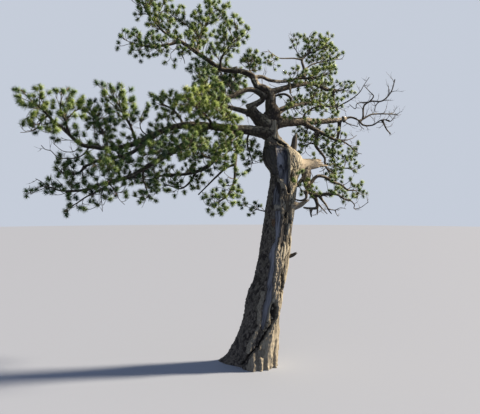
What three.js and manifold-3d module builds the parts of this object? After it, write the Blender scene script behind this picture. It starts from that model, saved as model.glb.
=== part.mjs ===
// An old wind-shaped pine: a leaning, fluted trunk with broken stubs, long boughs swept to one side, and
// rounded tufts of short needles at the ends of the twigs.
// Millimetres, +Z up. The origin lies on the flat cut under the trunk at ground level. +X is the side of the
// broken stubs, the long boughs reach out along -X, and -Y faces the viewer.
import * as THREE from "three";
import { mergeVertices } from "three/addons/utils/BufferGeometryUtils.js";
import Module from "manifold-3d";

const wasm = await Module();
wasm.setup();

// The crown is laid out from one standpoint. A place is given as [across, up], where it shows against the
// upright plane through the trunk. deep is how far behind that plane a limb's tip really lies, and is
// negative nearer the viewer. A limb starts on what carries it and reaches that depth evenly along its way.
const EYE = new THREE.Vector3(-100, -5000, 1580);

const GAP = 0.4; // clearance between two pieces that meet
const TUFT_LENGTH = 122; // a tuft stands for several real ones, so it is larger than life
const TUFT_RADIUS = 66;
const TUFT_MIDDLE = 0.52 * TUFT_LENGTH; // from where the tuft opens to its middle
const TUFT_POINTS = 3; // sprays of needles that stand out round a tuft
const TUFT_WIDEST = 0.6; // where a tuft is widest, as a share of its length
const TUFT_VALLEY = 0.36; // radius between two sprays, as a share of the tuft's
const TUFT_SETBACK = 0.25; // how far those valleys lie behind the sprays, as a share of the length
const TUFT_SPACING = 149; // least distance between the middles of two tufts in one mass
const TUFT_LARGEST = 1.1; // tufts differ in size: the largest, and by how much the others fall short
const TUFT_VARIES = 0.2;
const TWIG_RADIUS = 5;
const TWIG_PITCH = 26; // spacing of the side twigs along a leafy stem
const GOLDEN_ANGLE = 2.39996; // turn from each side twig to the next, in radians
const TWIG_SPREAD = 0.95; // angle between a twig and its stem, in radians
const TWIG_SPREAD_VARIES = 0.5;
const LEADER_SPREAD = 0.1; // the same angle for the twig that carries on from a stem's tip
const LEADER_REACH = 0.4; // how far that twig goes, as a share of the mass's reach
const SHORTEST_REACH = 0.6; // least share of the reach that a side twig aims for
const TWIG_LIFT = 0.35; // how strongly twigs turn up to the light
const TWIG_LEAST = 14; // shortest twig behind a tuft
const DRAWN_IN = [1, 0.85, 0.72, 0.6]; // steps by which a twig and its tuft shrink until they have room
const ELBOW_ROOM = 1.1; // a tuft keeps this many times its radius free, and a limb its own
const BARE_SHARE = 0.12; // share of a mass's first stem that is bare, unless the mass states its own
const BARE_SHARE_LATER = 0.1; // the same for its other stems, unless they state their own
const STEM_THICKER = 1.3; // root of a later stem against the tip of the first
const STEM_THINNER = 0.7; // tip of a later stem against the tip of the first
const TWIG_NUMBERS = 40; // twig numbers kept free for each stem
const FULL_TURN = 2 * Math.PI;
const ASIDE = new THREE.Vector3(0.2, 0.3, 1); // square to this, the turn of the twigs round a stem starts
const TUFT_UP = new THREE.Vector3(0.13, 0.21, 0.97); // a direction that no twig points along
const SAMPLE_STEP = 60; // spacing of the points by which distances to a limb are measured
const BARK_COLOUR = 0x6b6258;
const DEAD_WOOD_COLOUR = 0xa89c8a;
const NEEDLE_COLOUR = 0x5c6b2e;

// Trunk stations from the ground to the fork: height, how far the axis leans to the side, and radius.
const TRUNK = [
  { z: 0, x: 74, r: 170 },
  { z: 100, x: 76, r: 182 },
  { z: 200, x: 78, r: 190 },
  { z: 320, x: 92, r: 186 },
  { z: 470, x: 116, r: 175 },
  { z: 650, x: 148, r: 174 },
  { z: 760, x: 172, r: 166 },
  { z: 850, x: 204, r: 156 },
  { z: 1020, x: 240, r: 152 },
  { z: 1200, x: 262, r: 151 },
  { z: 1380, x: 277, r: 147 },
  { z: 1560, x: 297, r: 145 },
  { z: 1740, x: 316, r: 138 },
  { z: 1880, x: 332, r: 134 },
  { z: 1935, x: 333, r: 142 },
  { z: 2010, x: 318, r: 180 },
  { z: 2080, x: 306, r: 190 },
  { z: 2140, x: 285, r: 165 },
  { z: 2180, x: 258, r: 125 },
  { z: 2220, x: 240, r: 102 },
  { z: 2310, x: 216, r: 67 },
  { z: 2400, x: 205, r: 72 },
  { z: 2470, x: 205, r: 78 },
  { z: 2530, x: 215, r: 60 },
  { z: 2560, x: 218, r: 36 },
];
const TRUNK_SIDES = 18;
const TRUNK_RINGS = 26;
// Root flare: bearing in radians from +X, and how far the foot spreads there, as a share of the radius.
const ROOTS = [
  { bearing: 2.75, spread: 1.45 },
  { bearing: 4.5, spread: 0.22 },
  { bearing: 5.6, spread: 0.14 },
  { bearing: 0.5, spread: 0.08 },
  { bearing: 1.9, spread: 0.3 },
];
const ROOT_HEIGHT = 160; // height over which the flare dies away
const ROOT_NARROWS = 8; // the higher, the narrower each root is
const FLUTES = [
  { count: 3, depth: 0.07, twist: 0.0011 },
  { count: 5, depth: 0.045, twist: -0.0007 },
];

// Boughs: what each one grows on and, after that, touches, its radius at both ends, how the taper is spread,
// how deep its tip lies, and its route. An arm is a side limb of the same wood.
const BOUGHS = [
  {
    name: "bough_top", on: ["trunk"], radii: [58, 24], taper: 1.2, deep: -110,
    route: [[215, 2450], [222, 2530], [205, 2610], [210, 2670], [185, 2730], [135, 2765], [75, 2788],
      [50, 2835], [25, 2885], [-25, 2920], [-90, 2940], [-140, 2950]],
  },
  {
    name: "bough_top_left", on: ["bough_top"], radii: [24, 18], deep: -200,
    route: [[-130, 2948], [-280, 2955], [-420, 3050], [-510, 3110], [-610, 3180], [-700, 3240]],
  },
  {
    name: "bough_knee", on: ["trunk", "bough_top"], radii: [66, 44], deep: -50,
    route: [[180, 2400], [118, 2445], [48, 2505], [-15, 2560]],
    arms: [{ radii: [34, 26], deep: -25, route: [[-10, 2572], [40, 2598], [90, 2628], [150, 2672]] }],
  },
  {
    name: "bough_arch", on: ["bough_knee", "bough_top"], radii: [27, 20], deep: -220,
    route: [[160, 2650], [130, 2692], [60, 2742], [0, 2755], [-60, 2745], [-120, 2720], [-180, 2688],
      [-240, 2665], [-290, 2645]],
  },
  {
    name: "bough_left", on: ["trunk", "bough_knee"], radii: [56, 27], taper: 1.8, deep: -490,
    route: [[180, 2310], [60, 2345], [-30, 2358], [-180, 2358], [-400, 2385], [-630, 2405], [-830, 2360],
      [-1000, 2280]],
  },
  {
    name: "bough_left_upper", on: ["bough_left"], radii: [26, 14], deep: -770,
    route: [[-990, 2285], [-1200, 2200], [-1420, 2165], [-1560, 2180], [-1670, 2200], [-1746, 2250],
      [-1800, 2300], [-1880, 2375]],
  },
  {
    name: "bough_left_middle", on: ["bough_left", "bough_left_upper"], radii: [21, 12], deep: -600,
    route: [[-960, 2300], [-1070, 2200], [-1200, 2115], [-1380, 2070], [-1500, 2050], [-1580, 2015],
      [-1650, 1985]],
  },
  {
    name: "bough_left_low", on: ["bough_left"], radii: [32, 15], deep: -620,
    route: [[-450, 2390], [-600, 2250], [-770, 2140], [-990, 2010], [-1190, 1890], [-1370, 1840],
      [-1510, 1800]],
  },
  {
    name: "bough_center_low", on: ["bough_left", "trunk"], radii: [28, 14], deep: 160,
    route: [[-80, 2360], [-190, 2260], [-300, 2130], [-420, 1990], [-520, 1940], [-650, 1910],
      [-800, 1900]],
  },
  {
    name: "bough_back_left", on: ["trunk", "bough_knee"], radii: [40, 21], deep: 640,
    route: [[170, 2430], [0, 2520], [-140, 2560], [-260, 2590]],
  },
  {
    name: "bough_right", on: ["trunk", "bough_top"], radii: [54, 24], taper: 1.3, deep: 400,
    route: [[220, 2430], [330, 2436], [460, 2435], [610, 2435], [770, 2440], [930, 2455]],
  },
  {
    name: "bough_back_right", on: ["trunk", "bough_top", "bough_right"], radii: [38, 18], deep: 700,
    route: [[230, 2450], [310, 2550], [420, 2590], [540, 2610]],
  },
  {
    name: "bough_right_upper", on: ["bough_top"], radii: [32, 16], deep: 460,
    route: [[185, 2710], [280, 2750], [410, 2790], [530, 2812], [650, 2808], [760, 2756], [840, 2746]],
    arms: [{ radii: [13, 10], deep: 440, route: [[833, 2742], [836, 2650], [865, 2570], [890, 2515]] }],
  },
  {
    name: "bough_crown", on: ["bough_top"], radii: [18, 13], deep: 150,
    route: [[35, 2875], [120, 2880], [190, 2850], [290, 2835], [385, 2842], [480, 2865], [590, 2865]],
    arms: [{ radii: [12, 10], deep: -35, route: [[385, 2842], [400, 2780], [404, 2715]] }],
  },
  {
    name: "bough_curl", on: ["trunk", "bough_top"], radii: [15, 11], deep: -60,
    route: [[225, 2570], [305, 2554], [360, 2570], [400, 2617], [408, 2665], [360, 2703], [293, 2703],
      [215, 2672]],
  },
  {
    name: "bough_right_low", on: ["bough_right"], radii: [22, 12], deep: 250,
    route: [[530, 2435], [600, 2380], [670, 2342], [760, 2300], [850, 2250]],
  },
  {
    name: "broken_stub_upper", on: ["trunk"], radii: [70, 46], deep: 190,
    route: [[380, 1990], [540, 1997], [650, 2012], [700, 2017]],
    arms: [{ radii: [22, 8], deep: 215, route: [[640, 1995], [705, 1995], [775, 1990]] }],
  },
  {
    name: "broken_stub_lower", on: ["trunk"], radii: [46, 13], deep: -20,
    route: [[380, 1570], [490, 1600], [590, 1655]],
  },
  {
    name: "bough_skirt", on: ["broken_stub_upper", "trunk"], radii: [36, 20], deep: -60,
    route: [[560, 1990], [562, 1850], [585, 1770], [630, 1700]],
    arms: [{ radii: [17, 12], deep: -20, route: [[563, 1925], [532, 1870], [492, 1820], [474, 1780]] }],
  },
  {
    name: "bough_skirt_arch", on: ["bough_skirt", "broken_stub_upper"], radii: [17, 10], deep: 80,
    route: [[590, 1775], [622, 1841], [680, 1890], [750, 1880], [820, 1835], [900, 1805], [970, 1750]],
  },
];
const BOUGH_SIDES = 6;
const BOUGH_STEP = 115; // length of one facet along a bough

// Masses of foliage: what each grows on, the first stem's radii, how far its twigs reach from its stems, the
// share of the first stem that is bare, and the stems. A dead mass has no needles.
const MASSES = [
  {
    name: "foliage_left_tip", on: ["bough_left_upper"], radii: [14, 6], reach: 170,
    stems: [
      { deep: -900, route: [[-1880, 2375], [-1970, 2440], [-2040, 2520], [-2110, 2585], [-2190, 2650]] },
      { deep: -900, route: [[-2020, 2500], [-2090, 2430], [-2140, 2360], [-2200, 2335]] },
    ],
  },
  {
    name: "foliage_left_high", on: ["bough_left_upper"], radii: [12, 6], reach: 165, bare: 0.15,
    stems: [
      { deep: -900, route: [[-1815, 2312], [-1850, 2450], [-1895, 2560], [-1890, 2640]] },
      { deep: -800, route: [[-1848, 2445], [-1790, 2500], [-1740, 2560]] },
    ],
  },
  {
    name: "foliage_left_crest", on: ["bough_left_upper"], radii: [14, 6], reach: 175, bare: 0.15,
    stems: [
      { deep: -420, route: [[-1430, 2165], [-1450, 2290], [-1510, 2400], [-1570, 2500]] },
    ],
  },
  {
    name: "foliage_left_inner", on: ["bough_left_upper"], radii: [14, 6], reach: 165, bare: 0.15,
    stems: [
      { deep: -700, route: [[-1140, 2228], [-1190, 2380], [-1260, 2500], [-1320, 2610], [-1400, 2680]] },
      { deep: -700, route: [[-1300, 2570], [-1310, 2660], [-1290, 2740]] },
    ],
  },
  {
    name: "foliage_left_second", on: ["bough_left_middle"], radii: [12, 5], reach: 130,
    stems: [
      { deep: -480, route: [[-1650, 1985], [-1700, 1930], [-1780, 1905], [-1860, 1915], [-1920, 1970]] },
    ],
  },
  {
    name: "foliage_left_under", on: ["bough_left_middle"], radii: [11, 5], reach: 170, bare: 0.15,
    stems: [
      { deep: -760, route: [[-1230, 2107], [-1290, 2030], [-1350, 1980], [-1430, 1970]] },
    ],
  },
  {
    name: "foliage_left_low_tip", on: ["bough_left_low"], radii: [16, 6], reach: 130,
    stems: [
      { deep: -760, route: [[-1510, 1800], [-1640, 1755], [-1780, 1740], [-1900, 1745], [-1990, 1780]] },
    ],
  },
  {
    name: "foliage_left_low_under", on: ["bough_left_low"], radii: [10, 5], reach: 112, bare: 0.15,
    stems: [
      { deep: -720, route: [[-1385, 1830], [-1470, 1766], [-1560, 1720], [-1640, 1680], [-1730, 1620],
        [-1800, 1580]] },
      { deep: -560, route: [[-1470, 1766], [-1490, 1690], [-1480, 1610]] },
      { deep: -600, route: [[-1400, 1810], [-1350, 1740], [-1310, 1660]] },
    ],
  },
  {
    name: "foliage_left_low_mid", on: ["bough_left_low"], radii: [10, 5], reach: 125, bare: 0.15,
    stems: [
      { deep: -260, route: [[-1070, 1962], [-1070, 1870], [-1045, 1790], [-1020, 1710]] },
    ],
  },
  {
    name: "foliage_mid_front", on: ["bough_left"], radii: [16, 7], reach: 190, bare: 0.15,
    stems: [
      { deep: -640, route: [[-360, 2385], [-420, 2470], [-500, 2550], [-590, 2620]] },
    ],
  },
  {
    name: "foliage_mid_right", on: ["bough_left"], radii: [12, 6], reach: 170, bare: 0.2,
    stems: [
      { deep: -500, route: [[-120, 2358], [-150, 2410], [-210, 2460], [-290, 2510]] },
    ],
  },
  {
    name: "foliage_mid_low", on: ["bough_left"], radii: [12, 6], reach: 150, bare: 0.2,
    stems: [
      { deep: -440, route: [[-180, 2360], [-180, 2250], [-210, 2150], [-270, 2080]] },
    ],
  },
  {
    name: "foliage_mid_crest", on: ["bough_left"], radii: [13, 6], reach: 165, bare: 0.2,
    stems: [
      { deep: -180, route: [[-670, 2405], [-710, 2490], [-780, 2560], [-870, 2610]] },
    ],
  },
  {
    name: "foliage_mid_under", on: ["bough_left"], radii: [13, 5], reach: 170, bare: 0.15,
    stems: [
      { deep: -660, route: [[-820, 2362], [-860, 2260], [-920, 2170], [-1000, 2110]] },
    ],
  },
  {
    name: "foliage_mid_center", on: ["bough_left"], radii: [13, 6], reach: 160, bare: 0.2,
    stems: [
      { deep: -600, route: [[-540, 2405], [-530, 2320], [-560, 2240], [-620, 2170]] },
    ],
  },
  {
    name: "foliage_low_center", on: ["bough_center_low"], radii: [14, 6], reach: 140,
    stems: [
      { deep: 260, route: [[-800, 1900], [-900, 1890], [-990, 1860]] },
    ],
  },
  {
    name: "foliage_low_inner", on: ["bough_center_low"], radii: [12, 6], reach: 160, bare: 0.2,
    stems: [
      { deep: 280, route: [[-360, 2058], [-470, 2090], [-580, 2070]] },
    ],
  },
  {
    name: "foliage_hanging", on: ["bough_left", "bough_center_low"], radii: [20, 7], reach: 140, bare: 0.6,
    stems: [
      { deep: -330, route: [[-60, 2350], [-110, 2230], [-140, 2100], [-150, 1970], [-160, 1830],
        [-230, 1690], [-350, 1610]] },
    ],
  },
  {
    name: "foliage_inner_hang", on: ["bough_left", "trunk"], radii: [12, 5], reach: 105, bare: 0.25,
    stems: [
      { deep: 220, route: [[10, 2350], [-30, 2240], [0, 2110], [30, 2010]] },
    ],
  },
  {
    name: "foliage_top_left", on: ["bough_top_left"], radii: [17, 6], reach: 145,
    stems: [
      { deep: -360, route: [[-700, 3240], [-800, 3207], [-920, 3190], [-1040, 3190], [-1190, 3225]] },
    ],
  },
  {
    name: "foliage_top_high", on: ["bough_top_left"], radii: [15, 6], reach: 155, bare: 0.15,
    stems: [
      { deep: -60, route: [[-610, 3180], [-740, 3265], [-860, 3330], [-930, 3405], [-1000, 3485],
        [-1055, 3580], [-1095, 3685]] },
    ],
  },
  {
    name: "foliage_top_mid", on: ["bough_top_left"], radii: [13, 6], reach: 165, bare: 0.15,
    stems: [
      { deep: 140, route: [[-535, 3126], [-510, 3260], [-455, 3380], [-410, 3500]] },
    ],
  },
  {
    name: "foliage_top_right", on: ["bough_top_left"], radii: [13, 6], reach: 180, bare: 0.15,
    stems: [
      { deep: -400, route: [[-300, 2962], [-290, 3060], [-240, 3140], [-190, 3220], [-150, 3300]] },
    ],
  },
  {
    name: "foliage_elbow", on: ["bough_top"], radii: [10, 5], reach: 110, bare: 0.2,
    stems: [
      { deep: 160, route: [[0, 2905], [0, 2980], [20, 3050]] },
    ],
  },
  {
    name: "foliage_arch", on: ["bough_arch"], radii: [22, 7], reach: 170,
    stems: [
      { deep: -330, route: [[-300, 2640], [-380, 2700], [-440, 2780], [-490, 2860]] },
    ],
  },
  {
    name: "foliage_arch_inner", on: ["bough_arch"], radii: [12, 6], reach: 165, bare: 0.2,
    stems: [
      { deep: 120, route: [[-160, 2714], [-220, 2810], [-290, 2860], [-360, 2880]] },
    ],
  },
  {
    name: "foliage_crown_right", on: ["bough_crown"], radii: [16, 7], reach: 130, bare: 0.45,
    stems: [
      { deep: 330, route: [[540, 2870], [540, 2960], [520, 3050], [580, 3110], [680, 3150], [750, 3200]] },
      { deep: -60, bare: 0.68, route: [[512, 3055], [440, 3066], [370, 3066], [290, 3070], [230, 3105]] },
      { deep: 480, bare: 0.3, route: [[545, 2950], [630, 3010], [720, 3030], [830, 3050]] },
      { deep: 200, route: [[600, 3120], [590, 3200], [575, 3280]] },
    ],
  },
  {
    name: "foliage_crown_low", on: ["bough_crown"], radii: [13, 5], reach: 105,
    stems: [
      { deep: -120, route: [[590, 2865], [680, 2880], [770, 2910]] },
    ],
  },
  {
    name: "foliage_right_tip", on: ["bough_right_upper"], radii: [14, 5], reach: 100,
    stems: [
      { deep: 560, route: [[840, 2746], [910, 2748], [985, 2780]] },
    ],
  },
  {
    name: "foliage_right_back", on: ["bough_back_right"], radii: [16, 7], reach: 190,
    stems: [
      { deep: 900, route: [[540, 2610], [640, 2630], [760, 2650]] },
      { deep: 640, route: [[610, 2625], [650, 2730], [700, 2820]] },
    ],
  },
  {
    name: "foliage_right_inner", on: ["bough_right"], radii: [12, 5], reach: 110, bare: 0.2,
    stems: [
      { deep: -160, route: [[530, 2450], [548, 2510], [636, 2570], [740, 2585], [834, 2590]] },
    ],
  },
  {
    name: "foliage_right_low", on: ["bough_right"], radii: [15, 5], reach: 145, bare: 0.3,
    stems: [
      { deep: 600, route: [[895, 2450], [886, 2330], [872, 2262], [830, 2182], [824, 2102], [852, 2012],
        [915, 1972], [1010, 1970]] },
    ],
  },
  {
    name: "foliage_right_knot", on: ["bough_right_low"], radii: [15, 6], reach: 115, bare: 0.1,
    stems: [
      { deep: 320, route: [[670, 2342], [660, 2260], [655, 2200], [700, 2135], [748, 2068], [750, 2015],
        [775, 1958], [829, 1925]] },
      { deep: 330, route: [[656, 2215], [600, 2215], [545, 2190]] },
    ],
  },
  {
    name: "foliage_right_far", on: ["bough_right_low"], radii: [12, 4], reach: 110,
    stems: [
      { deep: 80, route: [[850, 2250], [930, 2235], [1000, 2190], [1060, 2130]] },
    ],
  },
  {
    name: "foliage_skirt", on: ["bough_skirt_arch"], radii: [9, 4], reach: 95,
    stems: [
      { deep: 190, route: [[970, 1750], [1040, 1745], [1110, 1750]] },
    ],
  },
  {
    name: "foliage_skirt_low", on: ["bough_skirt"], radii: [16, 5], reach: 95,
    stems: [
      { deep: -260, route: [[630, 1700], [700, 1700], [790, 1712], [880, 1700], [950, 1650]] },
      { deep: -140, route: [[650, 1700], [580, 1730], [510, 1742]] },
    ],
  },
  {
    name: "foliage_trunk_spray", on: ["trunk"], radii: [9, 4], reach: 130, bare: 0.4,
    stems: [
      { deep: 190, route: [[220, 1510], [90, 1550], [0, 1570]] },
    ],
  },
  {
    name: "dead_twigs_right", on: ["bough_right"], radii: [20, 11], reach: 130, dead: true,
    stems: [
      { deep: 430, route: [[930, 2455], [1010, 2478], [1100, 2440]] },
      { deep: 620, route: [[1100, 2440], [1160, 2478], [1210, 2505], [1320, 2512], [1480, 2505]] },
      { deep: 330, route: [[1090, 2448], [1135, 2398], [1225, 2400], [1320, 2450], [1400, 2445]] },
      { deep: 520, route: [[1130, 2460], [1140, 2590], [1200, 2635], [1320, 2640], [1410, 2730],
        [1450, 2860]] },
      { deep: 380, route: [[1320, 2450], [1370, 2350], [1410, 2310]] },
    ],
  },
  {
    name: "foliage_back_left", on: ["bough_back_left"], radii: [20, 7], reach: 200,
    stems: [
      { deep: 860, route: [[-260, 2590], [-360, 2620], [-470, 2650]] },
      { deep: 420, route: [[-260, 2590], [-200, 2710], [-150, 2810]] },
    ],
  },
];
const STEM_SIDES = 4;
const STEM_STEP = 110;
const ROOT_CHOICES = 120; // places along a parent limb where the next one may start

// The real point that shows at [across, up] and lies deep behind the trunk's plane, and the other way round.
function place([across, up], deep) {
  const stretch = (deep - EYE.y) / -EYE.y;
  return new THREE.Vector3(EYE.x + (across - EYE.x) * stretch, deep, EYE.z + (up - EYE.z) * stretch);
}
function shownAt(point) {
  const stretch = (point.y - EYE.y) / -EYE.y;
  return new THREE.Vector2(EYE.x + (point.x - EYE.x) / stretch, EYE.z + (point.z - EYE.z) / stretch);
}

// The same number from 0 to 1 every time for the same three whole numbers.
function chance(mass, twig, draw) {
  const wave = Math.sin(mass * 12.9898 + twig * 78.233 + draw * 37.719) * 43758.5453;
  return wave - Math.floor(wave);
}

function solidOf(geometry) {
  geometry.deleteAttribute("normal");
  geometry.deleteAttribute("uv");
  const merged = mergeVertices(geometry, 1e-4);
  return new wasm.Manifold(new wasm.Mesh({
    numProp: 3,
    vertProperties: merged.attributes.position.array,
    triVerts: new Uint32Array(merged.index.array),
  }));
}

function fuse(pieces) {
  return pieces.reduce((whole, piece) => whole.add(piece));
}

function largestBody(solid) {
  return solid.decompose().sort((a, b) => b.volume() - a.volume())[0];
}

function meshOf(name, solid, colour, roughness) {
  const made = solid.getMesh();
  const geometry = new THREE.BufferGeometry();
  geometry.setAttribute("position", new THREE.BufferAttribute(new Float32Array(made.vertProperties), 3));
  geometry.setIndex(new THREE.BufferAttribute(new Uint32Array(made.triVerts), 1));
  geometry.computeVertexNormals();
  const material = new THREE.MeshStandardMaterial({ color: colour, roughness, metalness: 0 });
  const mesh = new THREE.Mesh(geometry, material);
  mesh.name = name;
  return mesh;
}

// A limb is a curve through its places and a radius along it. Its root is the point of its parents'
// centrelines that shows nearest to the first place. The radius falls from the first to the second of radii,
// sooner where taper is over 1.
function limb({ route, deep, radii, taper = 1 }, parents) {
  const shown = route.map(([across, up]) => new THREE.Vector2(across, up));
  const root = parents.flatMap((parent) => parent.getSpacedPoints(ROOT_CHOICES))
    .map((point) => ({ point, miss: shownAt(point).distanceTo(shown[0]) }))
    .reduce((best, next) => (next.miss < best.miss ? next : best)).point;
  const steps = shown.slice(1).map((spot, i) => spot.distanceTo(shown[i]));
  const whole = steps.reduce((sum, step) => sum + step);
  const points = [root];
  let gone = 0;
  steps.forEach((step, i) => {
    gone += step;
    points.push(place(route[i + 1], THREE.MathUtils.lerp(root.y, deep, gone / whole)));
  });
  const curve = new THREE.CatmullRomCurve3(points);
  const radiusAt = (s) => radii[1] + (radii[0] - radii[1]) * (1 - s) ** taper;
  return { curve, radiusAt, length: curve.getLength() };
}

// A cylinder bent along a limb and tapered with it. grow makes it that much larger all round, for cutting.
function limbSolid({ curve, radiusAt, length }, sides, step, grow) {
  const steps = Math.max(1, Math.round(length / step));
  const frames = curve.computeFrenetFrames(steps, false);
  const shape = new THREE.CylinderGeometry(1, 1, 1, sides, steps);
  const at = shape.attributes.position;
  for (let i = 0; i < at.count; i++) {
    const along = at.getY(i) + 0.5;
    const ring = Math.round(along * steps);
    const radius = radiusAt(along) + grow;
    const point = curve.getPointAt(ring / steps)
      .addScaledVector(frames.normals[ring], at.getX(i) * radius)
      .addScaledVector(frames.binormals[ring], -at.getZ(i) * radius);
    if (ring === 0) point.addScaledVector(frames.tangents[ring], -grow);
    if (ring === steps) point.addScaledVector(frames.tangents[ring], grow);
    at.setXYZ(i, point.x, point.y, point.z);
  }
  return solidOf(shape);
}

// The trunk's surface: level rings on a leaning axis, with flutes that wind slowly round it and root flare.
const trunkAxis = new THREE.CatmullRomCurve3(TRUNK.map(({ x, z }) => new THREE.Vector3(x, 0, z)));
const trunkGirth = new THREE.CatmullRomCurve3(TRUNK.map(({ r, z }) => new THREE.Vector3(r, 0, z)));
function trunkSolid(grow) {
  const shape = new THREE.CylinderGeometry(1, 1, 1, TRUNK_SIDES, TRUNK_RINGS);
  const at = shape.attributes.position;
  for (let i = 0; i < at.count; i++) {
    const t = at.getY(i) + 0.5;
    const centre = trunkAxis.getPoint(t);
    const bearing = Math.atan2(-at.getZ(i), at.getX(i));
    let share = 1;
    for (const { count, depth, twist } of FLUTES) {
      share += depth * Math.cos(count * (bearing + twist * centre.z));
    }
    for (const root of ROOTS) {
      const facing = Math.max(0, Math.cos(bearing - root.bearing));
      share += root.spread * facing ** ROOT_NARROWS * Math.exp(-centre.z / ROOT_HEIGHT);
    }
    const radius = trunkGirth.getPoint(t).x * share + grow;
    const top = t === 1 ? grow : 0;
    at.setXYZ(i, centre.x + at.getX(i) * radius, -at.getZ(i) * radius, centre.z + top);
  }
  return solidOf(shape);
}

// Broken pieces that belong to the trunk itself: the dead spire beside the fork and a short peg.
const TRUNK_SNAGS = [
  { radii: [46, 22], deep: 10, route: [[390, 2010], [428, 2150], [452, 2298]] },
  { radii: [26, 14], deep: -30, route: [[330, 1070], [400, 1090], [472, 1122]] },
];

// A twig with its tuft of needles, closed from root to tip: a three-sided twig that opens at its neck into
// sprays, which stand round the tuft's slim core, and ends in a point in front. Each ring has two corners for
// each spray. They fall together along the twig, and every second one is a valley round the tuft.
function twigSolid({ root, direction, length, size, turn }) {
  const long = TUFT_LENGTH * size;
  const rings = [
    { along: 0, spray: TWIG_RADIUS },
    { along: length, spray: TWIG_RADIUS * 0.7 },
    { along: length + long * TUFT_WIDEST, spray: TUFT_RADIUS * size, hasValleys: true },
    { along: length + long, spray: 0 },
  ];
  const corners = 2 * TUFT_POINTS;
  const shape = new THREE.CylinderGeometry(1, 1, 1, corners, rings.length - 1);
  const at = shape.attributes.position;
  for (let i = 0; i < at.count; i++) {
    const ring = rings[Math.round((at.getY(i) + 0.5) * (rings.length - 1))];
    const atAxis = Math.hypot(at.getX(i), at.getZ(i)) < 0.5;
    const share = Math.atan2(at.getX(i), at.getZ(i)) / FULL_TURN;
    const corner = (Math.round(share * corners) + corners) % corners;
    const inValley = corner % 2 === 1 && ring.hasValleys === true;
    const bearing = (inValley ? corner : corner - corner % 2) * FULL_TURN / corners + turn;
    const radius = atAxis ? 0 : ring.spray * (inValley ? TUFT_VALLEY : 1);
    const along = ring.along - (inValley ? TUFT_SETBACK * long : 0);
    at.setXYZ(i, Math.cos(bearing) * radius, Math.sin(bearing) * radius, along);
  }
  shape.applyMatrix4(new THREE.Matrix4().lookAt(direction, new THREE.Vector3(), TUFT_UP));
  shape.translate(root.x, root.y, root.z);
  return solidOf(dropFlatFaces(shape));
}

// Leaves out the triangles that have no area once rings are drawn together to a point.
function dropFlatFaces(shape) {
  shape.deleteAttribute("normal");
  shape.deleteAttribute("uv");
  const merged = mergeVertices(shape, 1e-3);
  const kept = [];
  const index = merged.index.array;
  for (let i = 0; i < index.length; i += 3) {
    const [a, b, c] = index.slice(i, i + 3);
    if (a !== b && b !== c && c !== a) kept.push(a, b, c);
  }
  merged.setIndex(kept);
  return merged;
}

// Distance from a point to a limb's centreline, less the limb's radius there when solid is set.
function clearOf(point, samples, solid) {
  const nearest = new THREE.Vector3();
  const line = new THREE.Line3();
  let least = Infinity;
  for (let i = 0; i + 1 < samples.length; i++) {
    line.set(samples[i].point, samples[i + 1].point);
    const share = line.closestPointToPointParameter(point, true);
    line.at(share, nearest);
    const radius = solid ? THREE.MathUtils.lerp(samples[i].radius, samples[i + 1].radius, share) : 0;
    least = Math.min(least, nearest.distanceTo(point) - radius);
  }
  return least;
}

function samplesOf({ curve, radiusAt, length }) {
  const count = Math.max(4, Math.round(length / SAMPLE_STEP));
  return Array.from({ length: count + 1 }, (_, i) => ({
    point: curve.getPointAt(i / count), radius: radiusAt(i / count),
  }));
}

const trunkSamples = Array.from({ length: TRUNK_RINGS + 1 }, (_, i) => ({
  point: trunkAxis.getPoint(i / TRUNK_RINGS),
  radius: trunkGirth.getPoint(i / TRUNK_RINGS).x * ELBOW_ROOM,
}));
const snags = TRUNK_SNAGS.map((snag) => limb(snag, [trunkAxis]));
const curves = { trunk: [trunkAxis] };
const boughs = BOUGHS.map((bough) => {
  const main = limb(bough, curves[bough.on[0]]);
  const limbs = [main, ...(bough.arms ?? []).map((arm) => limb(arm, [main.curve]))];
  curves[bough.name] = limbs.map(({ curve }) => curve);
  return { ...bough, limbs };
});
const masses = MASSES.map((mass) => {
  const limbs = [];
  for (const stem of mass.stems) {
    const first = limbs.length === 0;
    const radii = first ? mass.radii : [mass.radii[1] * STEM_THICKER, mass.radii[1] * STEM_THINNER];
    limbs.push(limb({ ...stem, radii }, first ? curves[mass.on[0]] : limbs.map(({ curve }) => curve)));
  }
  return { bare: BARE_SHARE, ...mass, limbs };
});
const boughSamples = [...boughs.flatMap((bough) => bough.limbs), ...snags].map(samplesOf);
const stemSamples = masses.map((mass) => mass.limbs.map(samplesOf));

function fromStems(n, point) {
  return Math.min(...stemSamples[n].map((samples) => clearOf(point, samples, false)));
}

// A ball has room when its middle is within its mass's reach, all of it is nearer to the mass's own stems
// than to any neighbour's, and it is clear of every limb.
function roomFor(n, point, radius) {
  const own = fromStems(n, point);
  if (own > masses[n].reach) return false;
  for (let k = 0; k < masses.length; k++) {
    if (k !== n && own + 2 * radius + GAP > fromStems(k, point)) return false;
  }
  if (clearOf(point, trunkSamples, true) < radius + GAP) return false;
  return boughSamples.every((samples) => clearOf(point, samples, true) > radius + GAP);
}

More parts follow.
